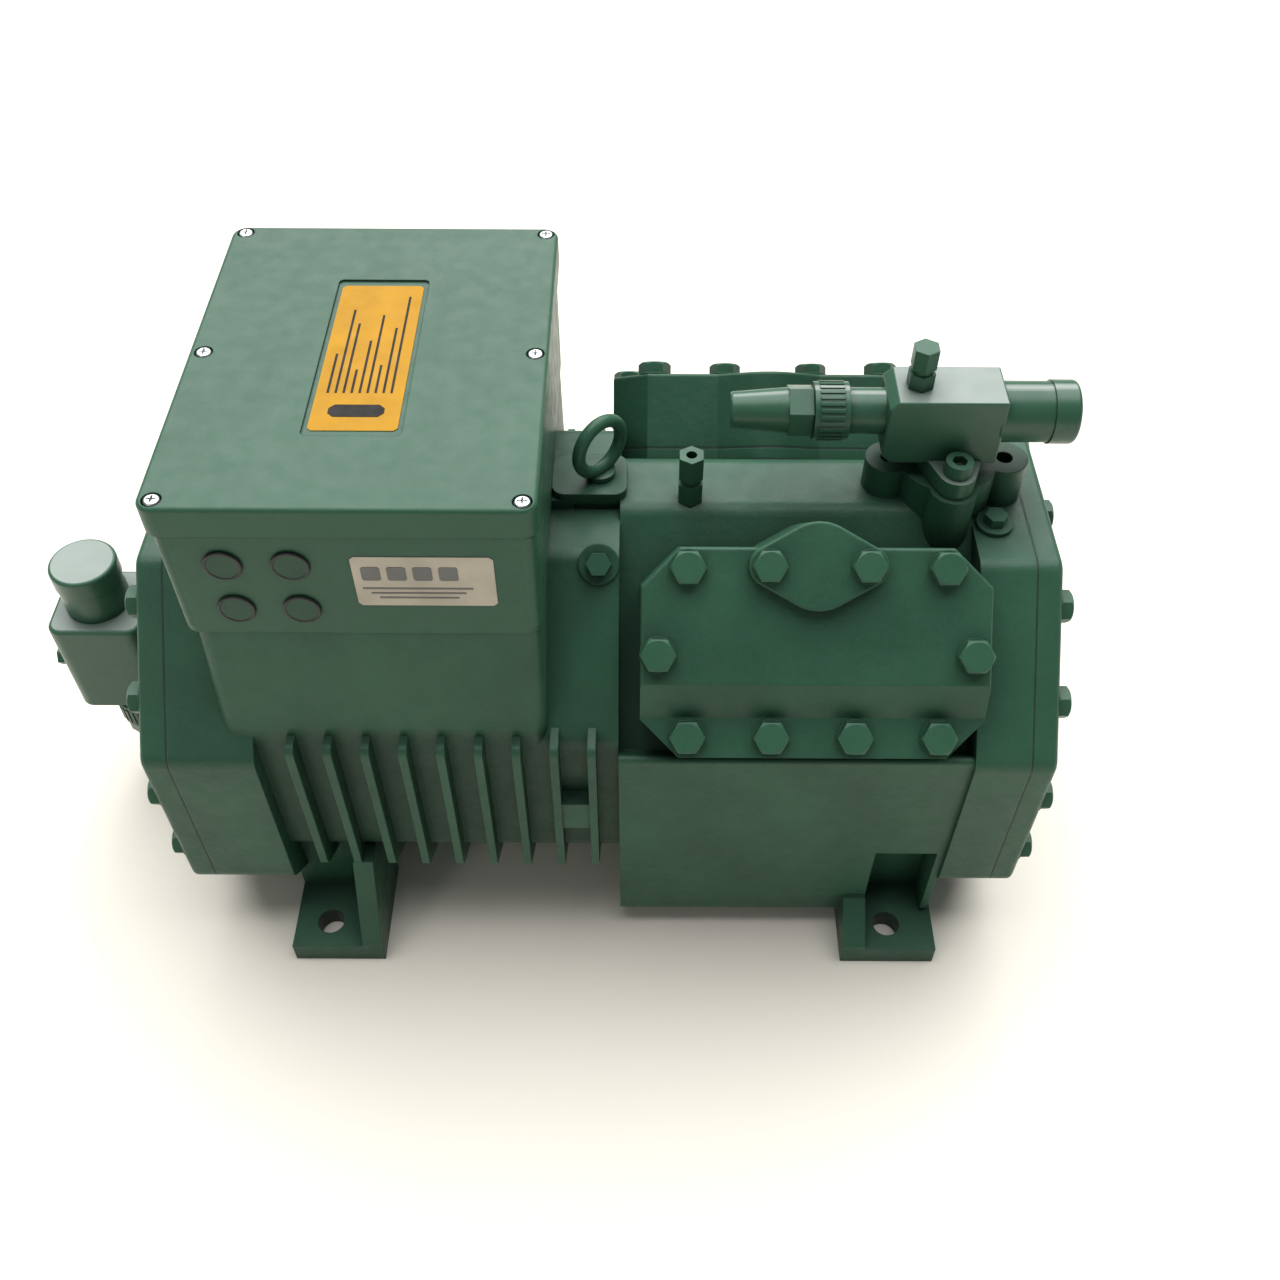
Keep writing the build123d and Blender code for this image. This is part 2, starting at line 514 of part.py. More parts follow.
def winding_slots(x):
    """Radial slots for the windings, on a plane across the shaft."""
    with BuildSketch(Plane.YZ.offset(x).shift_origin((x, 0, AXIS_Z))) as slots:
        with PolarLocations(sum(SLOT_R) / 2, SLOTS):
            Rectangle(SLOT_R[1] - SLOT_R[0], SLOT_WIDTH)
    return slots.sketch


with BuildPart() as stator_core:
    rod(Plane.YZ, [(0, AXIS_Z)], MOTOR_BORE_R, *STACK_X)
    rod(Plane.YZ, [(0, AXIS_Z)], STATOR_INNER_R, *STACK_X, mode=Mode.SUBTRACT)
    extrude(winding_slots(STACK_X[0]), amount=STACK_X[1] - STACK_X[0], mode=Mode.SUBTRACT)
stator_core.part.label = "stator_core"
export_step(stator_core.part, "parts/stator_core.step")

with BuildPart() as stator_windings:
    extrude(winding_slots(STACK_X[0]), amount=STACK_X[1] - STACK_X[0])
    for start, end in ((STACK_X[0] - 28, STACK_X[0]), (STACK_X[1], STACK_X[1] + 28)):
        rod(Plane.YZ, [(0, AXIS_Z)], 92, start, end)
        rod(Plane.YZ, [(0, AXIS_Z)], 58, start, end, mode=Mode.SUBTRACT)
    fillet(stator_windings.faces().sort_by(Axis.X)[0].edges(), 8)
    fillet(stator_windings.faces().sort_by(Axis.X)[-1].edges(), 8)
stator_windings.part.label = "stator_windings"
export_step(stator_windings.part, "parts/stator_windings.step")

with BuildPart() as rotor:
    rod(Plane.YZ, [(0, AXIS_Z)], ROTOR_R, *STACK_X)
    rod(Plane.YZ, [(0, AXIS_Z)], 46, STACK_X[0] - 8, STACK_X[1] + 8)
    rod(Plane.YZ, [(0, AXIS_Z)], SHAFT_R, STACK_X[0] - 8, STACK_X[1] + 8, mode=Mode.SUBTRACT)
    block((-160, -110), (-3, 3), (AXIS_Z + 14, AXIS_Z + 21), mode=Mode.SUBTRACT)
rotor.part.label = "rotor"
export_step(rotor.part, "parts/rotor.step")

with BuildPart() as rotor_key:
    block((-160, -110), (-3, 3), (AXIS_Z + 14, AXIS_Z + 21))
rotor_key.part.label = "rotor_key"
export_step(rotor_key.part, "parts/rotor_key.step")

SHAFT_END_X = -208
with BuildPart() as rotor_bolt:
    rod(Plane.YZ, [(0, AXIS_Z)], 26, SHAFT_END_X - 5, SHAFT_END_X)
    rod(Plane.YZ, [(0, AXIS_Z)], 6, SHAFT_END_X, SHAFT_END_X + 30)
    extrude(hexagons(Plane.YZ.offset(SHAFT_END_X - 15), [(0, AXIS_Z)], 22), amount=10)
rotor_bolt.part.label = "rotor_bolt"
export_step(rotor_bolt.part, "parts/rotor_bolt.step")

# ---------------------------------------------------------------- crankshaft and its bearings
WEB_THICK = 10
PIN_HALF = ROD_PITCH
CRANK_END_X = 240
SLINGER_X = (196.5, 202.5)
PLUG_R, PLUG_LENGTH = 4, 8

with BuildPart() as crankshaft:
    rod(Plane.YZ, [(0, AXIS_Z)], SHAFT_R, SHAFT_END_X, -12)
    rod(Plane.YZ, [(0, AXIS_Z)], JOURNAL_R, -12, THROW_X[0] - PIN_HALF)
    rod(Plane.YZ, [(0, AXIS_Z)], 24, THROW_X[0] + PIN_HALF, THROW_X[1] - PIN_HALF)
    rod(Plane.YZ, [(0, AXIS_Z)], JOURNAL_R, THROW_X[1] + PIN_HALF, CRANK_END_X)
    for x, up in zip(THROW_X, (1, -1)):
        pin_z = AXIS_Z + up * CRANK_R
        rod(Plane.YZ, [(0, pin_z)], CRANKPIN_R, x - PIN_HALF, x + PIN_HALF)
        for start in (x - PIN_HALF - WEB_THICK, x + PIN_HALF):
            with BuildSketch(Plane.YZ.offset(start)) as web:
                with Locations((0, AXIS_Z)):
                    Circle(27)
                with Locations((0, pin_z)):
                    Circle(20)
                make_hull()
            extrude(web.sketch, amount=WEB_THICK)
    rod(Plane.YZ, [(0, AXIS_Z)], 6, SHAFT_END_X, SHAFT_END_X + 30, mode=Mode.SUBTRACT)
    block((-160, -110), (-3, 3), (AXIS_Z + 14, AXIS_Z + 21), mode=Mode.SUBTRACT)
    plug_places = [(0, AXIS_Z + CRANK_R / 2), (0, AXIS_Z - CRANK_R / 2)]
    plug_hole_r = PLUG_R + RUNNING_GAP
    rod(Plane.YZ, plug_places, plug_hole_r, CRANK_END_X - PLUG_LENGTH - 1, CRANK_END_X, mode=Mode.SUBTRACT)
crankshaft.part.label = "crankshaft"
export_step(crankshaft.part, "parts/crankshaft.step")

for number, (plug_y, plug_z) in enumerate(plug_places, start=1):
    with BuildPart() as oil_gallery_plug:
        rod(Plane.YZ, [(plug_y, plug_z)], PLUG_R, CRANK_END_X - PLUG_LENGTH, CRANK_END_X)
        rod(Plane.YZ, [(plug_y, plug_z)], 2, CRANK_END_X - 3, CRANK_END_X, mode=Mode.SUBTRACT)
    oil_gallery_plug.part.label = f"oil_gallery_plug_{number}"
    export_step(oil_gallery_plug.part, f"parts/oil_gallery_plug_{number}.step")

with BuildPart() as oil_slinger:
    rod(Plane.YZ, [(0, AXIS_Z)], 54, 198.5, 201)
    rod(Plane.YZ, [(0, AXIS_Z)], 25, *SLINGER_X)
    rod(Plane.YZ, [(0, AXIS_Z)], JOURNAL_R, *SLINGER_X, mode=Mode.SUBTRACT)
oil_slinger.part.label = "oil_slinger"
export_step(oil_slinger.part, "parts/oil_slinger.step")

with BuildPart() as main_bearing_bushes:
    for start, end in (MOTOR_BUSH_X, DRIVE_BUSH_X):
        rod(Plane.YZ, [(0, AXIS_Z)], BUSH_R, start, end)
        rod(Plane.YZ, [(0, AXIS_Z)], JOURNAL_R + RUNNING_GAP, start, end, mode=Mode.SUBTRACT)
main_bearing_bushes.part.label = "main_bearing_bushes"
export_step(main_bearing_bushes.part, "parts/main_bearing_bushes.step")

# ---------------------------------------------------------------- pistons and rods
RINGS = [(4, 2.0), (9, 2.0), (14, 2.5)]
RING_R, GROOVE_R = BORE_R - 0.04, 26.8

for number, (side, throw, up) in enumerate(CYLINDERS, start=1):
    plane = bank_plane(side)
    x = THROW_X[throw] - side * ROD_PITCH / 2
    u = -side * x
    pin_n = PIN_REST_N if up == 1 else PIN_LOW_N
    crown = pin_n + CROWN_ABOVE_PIN
    skirt = pin_n - SKIRT_BELOW_PIN
    across = Plane(origin=plane.origin + plane.z_dir * pin_n, x_dir=plane.y_dir, z_dir=(1, 0, 0))

    with BuildPart() as bosses:
        for start, end in ((x - 27, x - 9.2), (x + 9.2, x + 27)):
            rod(across, [(0, 0)], 14, start, end)
        rod(plane, [(u, 0)], 27, skirt, crown - 6, mode=Mode.INTERSECT)

    with BuildPart() as piston:
        rod(plane, [(u, 0)], BORE_R - PISTON_GAP, skirt, crown)
        rod(plane, [(u, 0)], 25.5, skirt, crown - 7, mode=Mode.SUBTRACT)
        add(bosses.part)
        rod(across, [(0, 0)], PIN_R, x - 40, x + 40, mode=Mode.SUBTRACT)
        for depth, height in RINGS:
            with BuildSketch(plane.offset(crown - depth - height)) as groove:
                with Locations((u, 0)):
                    Circle(BORE_R)
                    Circle(GROOVE_R, mode=Mode.SUBTRACT)
            extrude(groove.sketch, amount=height, mode=Mode.SUBTRACT)
    rings = []
    for depth, height in RINGS:
        with BuildPart() as ring:
            rod(plane, [(u, 0)], RING_R, crown - depth - height, crown - depth)
            rod(plane, [(u, 0)], GROOVE_R, crown - depth - height, crown - depth, mode=Mode.SUBTRACT)
        rings.append(ring.part)
    piston_with_rings = Compound(label=f"piston_{number}", children=[piston.part, *rings])
    export_step(piston_with_rings, f"parts/piston_{number}.step")

    with BuildPart() as piston_pin:
        rod(across, [(0, 0)], PIN_R, x - 26, x + 26)
        rod(across, [(0, 0)], 5, x - 26, x + 26, mode=Mode.SUBTRACT)
    piston_pin.part.label = f"piston_pin_{number}"
    export_step(piston_pin.part, f"parts/piston_pin_{number}.step")

    crankpin = Vector(x - ROD_WIDTH / 2, 0, AXIS_Z + up * CRANK_R)
    small_end = plane.origin + plane.z_dir * pin_n + Vector(x - ROD_WIDTH / 2, 0, 0)
    along = Plane(origin=crankpin, x_dir=small_end - crankpin, z_dir=(1, 0, 0))
    with BuildPart() as connecting_rod:
        with BuildSketch(along) as shape:
            Circle(26)
            with Locations((ROD_LENGTH, 0)):
                Circle(13)
            with BuildLine():
                Polyline((0, -14), (0, 14), (ROD_LENGTH, 8), (ROD_LENGTH, -8), close=True)
            make_face()
        extrude(shape.sketch, amount=ROD_WIDTH)
        rod(along, [(0, 0)], CRANKPIN_R + RUNNING_GAP, 0, ROD_WIDTH, mode=Mode.SUBTRACT)
        rod(along, [(ROD_LENGTH, 0)], PIN_R + RUNNING_GAP, 0, ROD_WIDTH, mode=Mode.SUBTRACT)
        # The cap's parting line
        with BuildSketch(along) as parting:
            Rectangle(0.2, 60)
        extrude(parting.sketch, amount=ROD_WIDTH, mode=Mode.SUBTRACT)
    connecting_rod.part.label = f"conrod_{number}"
    export_step(connecting_rod.part, f"parts/conrod_{number}.step")

# ---------------------------------------------------------------- terminal box
BOX_MIDDLE = (sum(BOX_X) / 2, 0)
BOX_SIZE = (BOX_X[1] - BOX_X[0], 2 * BOX_Y)
FLOOR_Z = NECK_TOP_Z + 5


def box_shell(z, size, corner):
    """A rounded rectangle over the middle of the terminal box."""
    with BuildSketch(Plane.XY.offset(z)) as outline:
        with Locations(BOX_MIDDLE):
            RectangleRounded(*size, corner)
    return outline.sketch


with BuildPart() as terminal_box:
    extrude(box_shell(NECK_TOP_Z, BOX_SIZE, 9), amount=BOX_TOP_Z - NECK_TOP_Z)
    inner = [length - 2 * BOX_WALL for length in BOX_SIZE]
    extrude(box_shell(FLOOR_Z, inner, 5), amount=BOX_TOP_Z - FLOOR_Z, mode=Mode.SUBTRACT)
    rod(Plane.XY, LID_SCREWS, 5, FLOOR_Z, BOX_TOP_Z)
    rod(Plane.XY, LID_SCREWS, 2.9, BOX_TOP_Z - 22, BOX_TOP_Z, mode=Mode.SUBTRACT)
    rod(Plane.XZ, KNOCKOUTS, 8.5, BOX_Y - BOX_WALL, BOX_Y, mode=Mode.SUBTRACT)
    block((-160, -110), (-24, 24), (NECK_TOP_Z, FLOOR_Z), mode=Mode.SUBTRACT)
terminal_box.part.label = "terminal_box"
export_step(terminal_box.part, "parts/terminal_box.step")

with BuildPart() as knockout_plugs:
    rod(Plane.XZ, KNOCKOUTS, 8.5, BOX_Y - BOX_WALL, BOX_Y)
    rod(Plane.XZ, KNOCKOUTS, 9.8, BOX_Y, BOX_Y + 1.6)
    fillet(knockout_plugs.faces().sort_by(Axis.Y)[0].edges(), 0.6)
knockout_plugs.part.label = "knockout_plugs"
export_step(knockout_plugs.part, "parts/knockout_plugs.step")

STUDS = [(-135 + x, y) for x in (-18, 0, 18) for y in (-12, 12)]
with BuildPart() as terminal_board:
    block((-170, -100), (-34, 34), (FLOOR_Z, FLOOR_Z + 10))
    rod(Plane.XY, STUDS, 3, FLOOR_Z, FLOOR_Z + 10, mode=Mode.SUBTRACT)
terminal_board.part.label = "terminal_board"
export_step(terminal_board.part, "parts/terminal_board.step")

with BuildPart() as terminal_studs:
    rod(Plane.XY, STUDS, 3, FLOOR_Z - 12, FLOOR_Z + 32)
    extrude(hexagons(Plane.XY.offset(FLOOR_Z + 10), STUDS, 10), amount=5)
terminal_studs.part.label = "terminal_studs"
export_step(terminal_studs.part, "parts/terminal_studs.step")

with BuildPart() as protection_module:
    block((-175, -95), (55, 105), (FLOOR_Z, FLOOR_Z + 32))
    fillet(protection_module.edges().filter_by(Axis.Z), 4)
protection_module.part.label = "protection_module"
export_step(protection_module.part, "parts/protection_module.step")

with BuildPart() as lid_seal:
    extrude(box_shell(BOX_TOP_Z, BOX_SIZE, 9), amount=SEAL_THICK)
    extrude(box_shell(BOX_TOP_Z, inner, 5), amount=SEAL_THICK, mode=Mode.SUBTRACT)
    rod(Plane.XY, LID_SCREWS, 4, BOX_TOP_Z, BOX_TOP_Z + SEAL_THICK, mode=Mode.SUBTRACT)
lid_seal.part.label = "lid_seal"
export_step(lid_seal.part, "parts/lid_seal.step")

LID_BASE_Z = BOX_TOP_Z + SEAL_THICK
LID_SIZE = (LID_X[1] - LID_X[0], 2 * LID_Y)
RECESS_SIZE, RECESS_DEPTH = (53, 140), 1.2
WELL_R, WELL_DEPTH = 5.2, 5
LID_SCREW_SEAT = LID_TOP_Z - WELL_DEPTH
with BuildPart() as terminal_lid:
    extrude(box_shell(LID_BASE_Z, LID_SIZE, 9), amount=LID_TOP_Z - LID_BASE_Z)
    fillet(terminal_lid.faces().sort_by(Axis.Z)[-1].edges(), 2.5)
    pocket = [length - 2 * BOX_WALL - 4 for length in BOX_SIZE]
    extrude(box_shell(LID_BASE_Z, pocket, 6), amount=LID_TOP_Z - LID_WALL - LID_BASE_Z, mode=Mode.SUBTRACT)
    rod(Plane.XY, LID_SCREWS, WELL_R + 1.5, LID_BASE_Z, LID_TOP_Z - LID_WALL)
    rod(Plane.XY, LID_SCREWS, WELL_R, LID_SCREW_SEAT, LID_TOP_Z, mode=Mode.SUBTRACT)
    rod(Plane.XY, LID_SCREWS, 2.9, LID_BASE_Z, LID_TOP_Z, mode=Mode.SUBTRACT)
    extrude(box_shell(LID_TOP_Z - RECESS_DEPTH, RECESS_SIZE, 3), amount=RECESS_DEPTH, mode=Mode.SUBTRACT)
terminal_lid.part.label = "terminal_lid"
export_step(terminal_lid.part, "parts/terminal_lid.step")

with BuildPart() as lid_screws:
    rod(Plane.XY, LID_SCREWS, 2.5, BOX_TOP_Z - 18, LID_SCREW_SEAT)
    rod(Plane.XY, LID_SCREWS, 4.4, LID_SCREW_SEAT, LID_SCREW_SEAT + 5.6)
    fillet(lid_screws.faces().group_by(Axis.Z)[-1].edges(), 1.6)
    cross_cut = LID_SCREW_SEAT + 3.4
    for size in ((5.2, 1.1), (1.1, 5.2)):
        with BuildSketch(Plane.XY.offset(cross_cut)) as cross:
            with Locations(*LID_SCREWS):
                Rectangle(*size)
        extrude(cross.sketch, amount=5, mode=Mode.SUBTRACT)
lid_screws.part.label = "lid_screws"
export_step(lid_screws.part, "parts/lid_screws.step")

# ---------------------------------------------------------------- shut-off valves
# Along a valve's stem, measured back from the body's face that the stem leaves
STEM_COLLAR, GLAND_NUT, CAP_HEX, CAP_LENGTH = 21, 20, 14, 47
COLLAR_R, THREAD_R, NUT_R, CAP_R, CAP_TIP_R = 13.3, 10, 16.6, 13.3, 10.5
KNURLS = 28
SPINDLE_GAP = 0.05


def stem_housing(plane):
    """Collar and threaded sleeve round a spindle, standing on a plane."""
    rod(plane, [(0, 0)], COLLAR_R, 0, STEM_COLLAR)
    rod(plane, [(0, 0)], THREAD_R, 0, STEM_COLLAR + GLAND_NUT + 7)


def gland_nut(plane):
    """Knurled nut on a valve's sleeve."""
    with BuildPart() as nut:
        rod(plane, [(0, 0)], NUT_R, STEM_COLLAR, STEM_COLLAR + GLAND_NUT)
        with BuildSketch(plane.offset(STEM_COLLAR + 3)) as teeth:
            with PolarLocations(NUT_R, KNURLS):
                Rectangle(1.4, 2.0)
        extrude(teeth.sketch, amount=GLAND_NUT - 6)
        rod(plane, [(0, 0)], THREAD_R, STEM_COLLAR, STEM_COLLAR + GLAND_NUT, mode=Mode.SUBTRACT)
    return nut.part


def spindle_cap(plane):
    """Cap over a spindle: a hexagon for the spanner, then a blunt cone."""
    start = STEM_COLLAR + GLAND_NUT + 0.3
    tip = start + CAP_LENGTH
    with BuildPart() as cap:
        extrude(hexagons(plane.offset(start), [(0, 0)], 27, turn=30), amount=CAP_HEX)
        cone_foot = circles(plane.offset(start + CAP_HEX), [(0, 0)], CAP_R)
        cone_top = circles(plane.offset(tip), [(0, 0)], CAP_TIP_R)
        loft([cone_foot, cone_top])
        fillet(cap.faces().sort_by(Axis(plane.origin, plane.z_dir))[-1].edges(), 1.5)
        rod(plane, [(0, 0)], THREAD_R + 0.3, start, start + 10, mode=Mode.SUBTRACT)
        rod(plane, [(0, 0)], SPINDLE_R + 0.6, start, tip - 5, mode=Mode.SUBTRACT)
    return cap.part


def spindle(plane, reach):
    """A spindle with a square end, from its valve disc inside the body out under the cap."""
    end = STEM_COLLAR + GLAND_NUT + 28
    with BuildPart() as stem:
        rod(plane, [(0, 0)], SPINDLE_R, -reach, end - 12)
        with BuildSketch(plane.offset(end - 12)) as square:
            Rectangle(9, 9)
        extrude(square.sketch, amount=12)
        rod(plane, [(0, 0)], 11.5, -reach, -reach + 5)
    return stem.part


# Discharge valve, on the lobed seat at the drive end
DV_X, DV_HALF_Y, DV_Z = (160, 227), 17, (316, 360)
DV_FLANGE_Z = (PEDESTAL_Z + GASKET, 318)
DV_STUB_X, DV_CAP_X, DV_STUB_R, DV_LINE_R = 255, 270, 17.6, 14
dv_stem = Plane(origin=(DV_X[0], 0, DISCHARGE_Z), x_dir=(0, 1, 0), z_dir=(-1, 0, 0))
dv_line = Plane(origin=(DV_X[1], 0, DISCHARGE_Z), x_dir=(0, 1, 0), z_dir=(1, 0, 0))
DV_SCREWS = [(DISCHARGE_SEAT_X, -27), (DISCHARGE_SEAT_X, 27)]
TAPPED_PORTS = [(178, 0)]


def discharge_flange(z):
    """Rhombic flange with rounded ends over the valve's two screws."""
    with BuildSketch(Plane.XY.offset(z)) as outline:
        with Locations((DISCHARGE_SEAT_X, 0)):
            Circle(21)
        with Locations(*DV_SCREWS):
            Circle(11)
        make_hull()
    return outline.sketch


with BuildPart() as dv_casting:
    block(DV_X, (-DV_HALF_Y, DV_HALF_Y), DV_Z)
    chamfer(dv_casting.faces().sort_by(Axis.X)[0].edges().filter_by(Axis.Y), 5)
    fillet(dv_casting.edges(), 1.2)
    extrude(discharge_flange(DV_FLANGE_Z[0]), amount=DV_FLANGE_Z[1] - DV_FLANGE_Z[0])
    stem_housing(dv_stem)
    rod(dv_line, [(0, 0)], DV_STUB_R, -2, DV_STUB_X - DV_X[1])
    rod(dv_line, [(0, 0)], DV_LINE_R, -49, DV_STUB_X - DV_X[1], mode=Mode.SUBTRACT)
    rod(dv_stem, [(0, 0)], SPINDLE_R + SPINDLE_GAP, -30, STEM_COLLAR + GLAND_NUT + 7, mode=Mode.SUBTRACT)
    rod(Plane.XY, [(DISCHARGE_SEAT_X, 0)], 12, DV_FLANGE_Z[0], DISCHARGE_Z, mode=Mode.SUBTRACT)
    rod(Plane.XY, DV_SCREWS, 5.5, DV_FLANGE_Z[0], DV_FLANGE_Z[1], mode=Mode.SUBTRACT)
    rod(Plane.XY, DV_SCREWS, 8.6, DV_FLANGE_Z[1], DV_FLANGE_Z[1] + 20, mode=Mode.SUBTRACT)
    rod(Plane.XY, TAPPED_PORTS, 4, DISCHARGE_Z, DV_Z[1], mode=Mode.SUBTRACT)
discharge_valve_body = Compound(label="discharge_valve_body", children=[dv_casting.part, gland_nut(dv_stem)])
export_step(discharge_valve_body, "parts/discharge_valve_body.step")

with BuildPart() as discharge_spindle:
    add(spindle(dv_stem, 25))
discharge_spindle.part.label = "discharge_spindle"
export_step(discharge_spindle.part, "parts/discharge_spindle.step")

with BuildPart() as discharge_spindle_cap:
    add(spindle_cap(dv_stem))
discharge_spindle_cap.part.label = "discharge_spindle_cap"
export_step(discharge_spindle_cap.part, "parts/discharge_spindle_cap.step")


def line_cap(plane, seat, tip, outer_r, line_r):
    """Cap over a valve's line connection, with a spigot in the bore."""
    with BuildPart() as cap:
        rod(plane, [(0, 0)], outer_r, seat, tip)
        fillet(cap.faces().sort_by(Axis(plane.origin, plane.z_dir))[-1].edges(), 2.5)
        rod(plane, [(0, 0)], line_r - 0.3, seat - 10, seat)
    return cap.part


with BuildPart() as discharge_line_cap:
    add(line_cap(dv_line, DV_STUB_X - DV_X[1], DV_CAP_X - DV_X[1], DV_STUB_R + 0.8, DV_LINE_R))
discharge_line_cap.part.label = "discharge_line_cap"
export_step(discharge_line_cap.part, "parts/discharge_line_cap.step")

# Suction valve, on the motor end cover
SV_X, SV_HALF_Y, SV_Z = (-372, -310), 29, (98, 175)
SV_FLANGE_X = (-288, MOTOR_COVER_X - GASKET)
SV_STUB_Z, SV_CAP_Z, SV_STUB_R, SV_LINE_R = 199, 213, 21, 17.5
sv_stem = Plane(origin=(SUCTION_X, 0, SV_Z[0]), x_dir=(1, 0, 0), z_dir=(0, 0, -1))
sv_line = Plane(origin=(SUCTION_X, 0, SV_Z[1]), x_dir=(1, 0, 0), z_dir=(0, 0, 1))

with BuildPart() as sv_casting:
    block(SV_X, (-SV_HALF_Y, SV_HALF_Y), SV_Z)
    fillet(sv_casting.edges().filter_by(Axis.Z), 10)
    fillet(sv_casting.faces().sort_by(Axis.Z)[-1].edges(), 3)
    rod(Plane.YZ, [(0, SUCTION_PORT_Z)], 26, SV_X[1] - 4, SV_FLANGE_X[0] + 2)
    with BuildSketch(Plane.YZ.offset(SV_FLANGE_X[0])) as sv_flange:
        with Locations((0, SUCTION_PORT_Z)):
            RectangleRounded(80, 74, 12)
    extrude(sv_flange.sketch, amount=SV_FLANGE_X[1] - SV_FLANGE_X[0])
    stem_housing(sv_stem)
    rod(sv_line, [(0, 0)], SV_STUB_R, -2, SV_STUB_Z - SV_Z[1])
    rod(sv_line, [(0, 0)], SV_LINE_R, -50, SV_STUB_Z - SV_Z[1], mode=Mode.SUBTRACT)
    rod(sv_stem, [(0, 0)], SPINDLE_R + SPINDLE_GAP, -40, STEM_COLLAR + GLAND_NUT + 7, mode=Mode.SUBTRACT)
    rod(Plane.YZ, [(0, SUCTION_PORT_Z)], 17, SUCTION_X, SV_FLANGE_X[1], mode=Mode.SUBTRACT)
    rod(Plane.YZ, suction_threads, 5.5, SV_FLANGE_X[0], SV_FLANGE_X[1], mode=Mode.SUBTRACT)
    rod(Plane.YZ, [(0, 119)], 4, SV_X[0], SUCTION_X - 20, mode=Mode.SUBTRACT)
suction_valve_body = Compound(label="suction_valve_body", children=[sv_casting.part, gland_nut(sv_stem)])
export_step(suction_valve_body, "parts/suction_valve_body.step")

with BuildPart() as suction_spindle:
    add(spindle(sv_stem, 35))
suction_spindle.part.label = "suction_spindle"
export_step(suction_spindle.part, "parts/suction_spindle.step")

with BuildPart() as suction_spindle_cap:
    add(spindle_cap(sv_stem))
suction_spindle_cap.part.label = "suction_spindle_cap"
export_step(suction_spindle_cap.part, "parts/suction_spindle_cap.step")

with BuildPart() as suction_line_cap:
    add(line_cap(sv_line, SV_STUB_Z - SV_Z[1], SV_CAP_Z - SV_Z[1], SV_STUB_R + 0.8, SV_LINE_R))
suction_line_cap.part.label = "suction_line_cap"
export_step(suction_line_cap.part, "parts/suction_line_cap.step")

with BuildPart() as service_valve_gaskets:
    extrude(discharge_flange(PEDESTAL_Z), amount=GASKET)
    rod(Plane.XY, [(DISCHARGE_SEAT_X, 0)], 13, PEDESTAL_Z, PEDESTAL_Z + GASKET, mode=Mode.SUBTRACT)
    rod(Plane.XY, DV_SCREWS, 5.5, PEDESTAL_Z, PEDESTAL_Z + GASKET, mode=Mode.SUBTRACT)
    extrude(sv_flange.sketch.moved(Location((SV_FLANGE_X[1] - SV_FLANGE_X[0], 0, 0))), amount=GASKET)
    rod(Plane.YZ, [(0, SUCTION_PORT_Z)], 18, SV_FLANGE_X[1], MOTOR_COVER_X, mode=Mode.SUBTRACT)
    rod(Plane.YZ, suction_threads, 5.5, SV_FLANGE_X[1], MOTOR_COVER_X, mode=Mode.SUBTRACT)
service_valve_gaskets.part.label = "service_valve_gaskets"
export_step(service_valve_gaskets.part, "parts/service_valve_gaskets.step")

with BuildPart() as service_valve_screws:
    rod(Plane.XY, DV_SCREWS, 5, PEDESTAL_Z - 16, DV_FLANGE_Z[1])
    rod(Plane.XY, DV_SCREWS, 8, DV_FLANGE_Z[1], DV_FLANGE_Z[1] + 9)
    sockets = hexagons(Plane.XY.offset(DV_FLANGE_Z[1] + 4), DV_SCREWS, 8)
    extrude(sockets, amount=5, mode=Mode.SUBTRACT)
    rod(Plane.YZ, suction_threads, 5, SV_FLANGE_X[0], MOTOR_COVER_X + 8)
    rod(Plane.YZ, suction_threads, 8, SV_FLANGE_X[0] - 9, SV_FLANGE_X[0])
service_valve_screws.part.label = "service_valve_screws"
export_step(service_valve_screws.part, "parts/service_valve_screws.step")

# ---------------------------------------------------------------- ports, plugs and the lifting eye
with BuildPart() as gauge_ports:
    rod(Plane.XY, TAPPED_PORTS, 4, DV_Z[1] - 6, DV_Z[1])
    extrude(hexagons(Plane.XY.offset(DV_Z[1]), TAPPED_PORTS, 14, turn=30), amount=10)
    rod(Plane.XY, TAPPED_PORTS, 6, DV_Z[1] + 10, DV_Z[1] + 13)
    extrude(hexagons(Plane.XY.offset(DV_Z[1] + 13), TAPPED_PORTS, 13.5, turn=30), amount=13)
    side_port = Plane(origin=(SV_X[0], 0, 119), x_dir=(0, 1, 0), z_dir=(-1, 0, 0))
    rod(side_port, [(0, 0)], 4, -8, 0)
    extrude(hexagons(side_port, [(0, 0)], 14), amount=6)
    rod(side_port, [(0, 0)], 5.5, 6, 8)
    extrude(hexagons(side_port.offset(8), [(0, 0)], 13), amount=7)
gauge_ports.part.label = "gauge_ports"
export_step(gauge_ports.part, "parts/gauge_ports.step")

with BuildPart() as pressure_port:
    rod(Plane.XY, PRESSURE_PORT, 5, RIDGE_Z - 10, RIDGE_Z)
    extrude(hexagons(Plane.XY.offset(RIDGE_Z), PRESSURE_PORT, 14, turn=30), amount=14)
    rod(Plane.XY, PRESSURE_PORT, 6, RIDGE_Z + 14, RIDGE_Z + 18)
    extrude(hexagons(Plane.XY.offset(RIDGE_Z + 18), PRESSURE_PORT, 14, turn=30), amount=16)
    rod(Plane.XY, PRESSURE_PORT, 3.2, RIDGE_Z + 24, RIDGE_Z + 34, mode=Mode.SUBTRACT)
pressure_port.part.label = "pressure_port"
export_step(pressure_port.part, "parts/pressure_port.step")

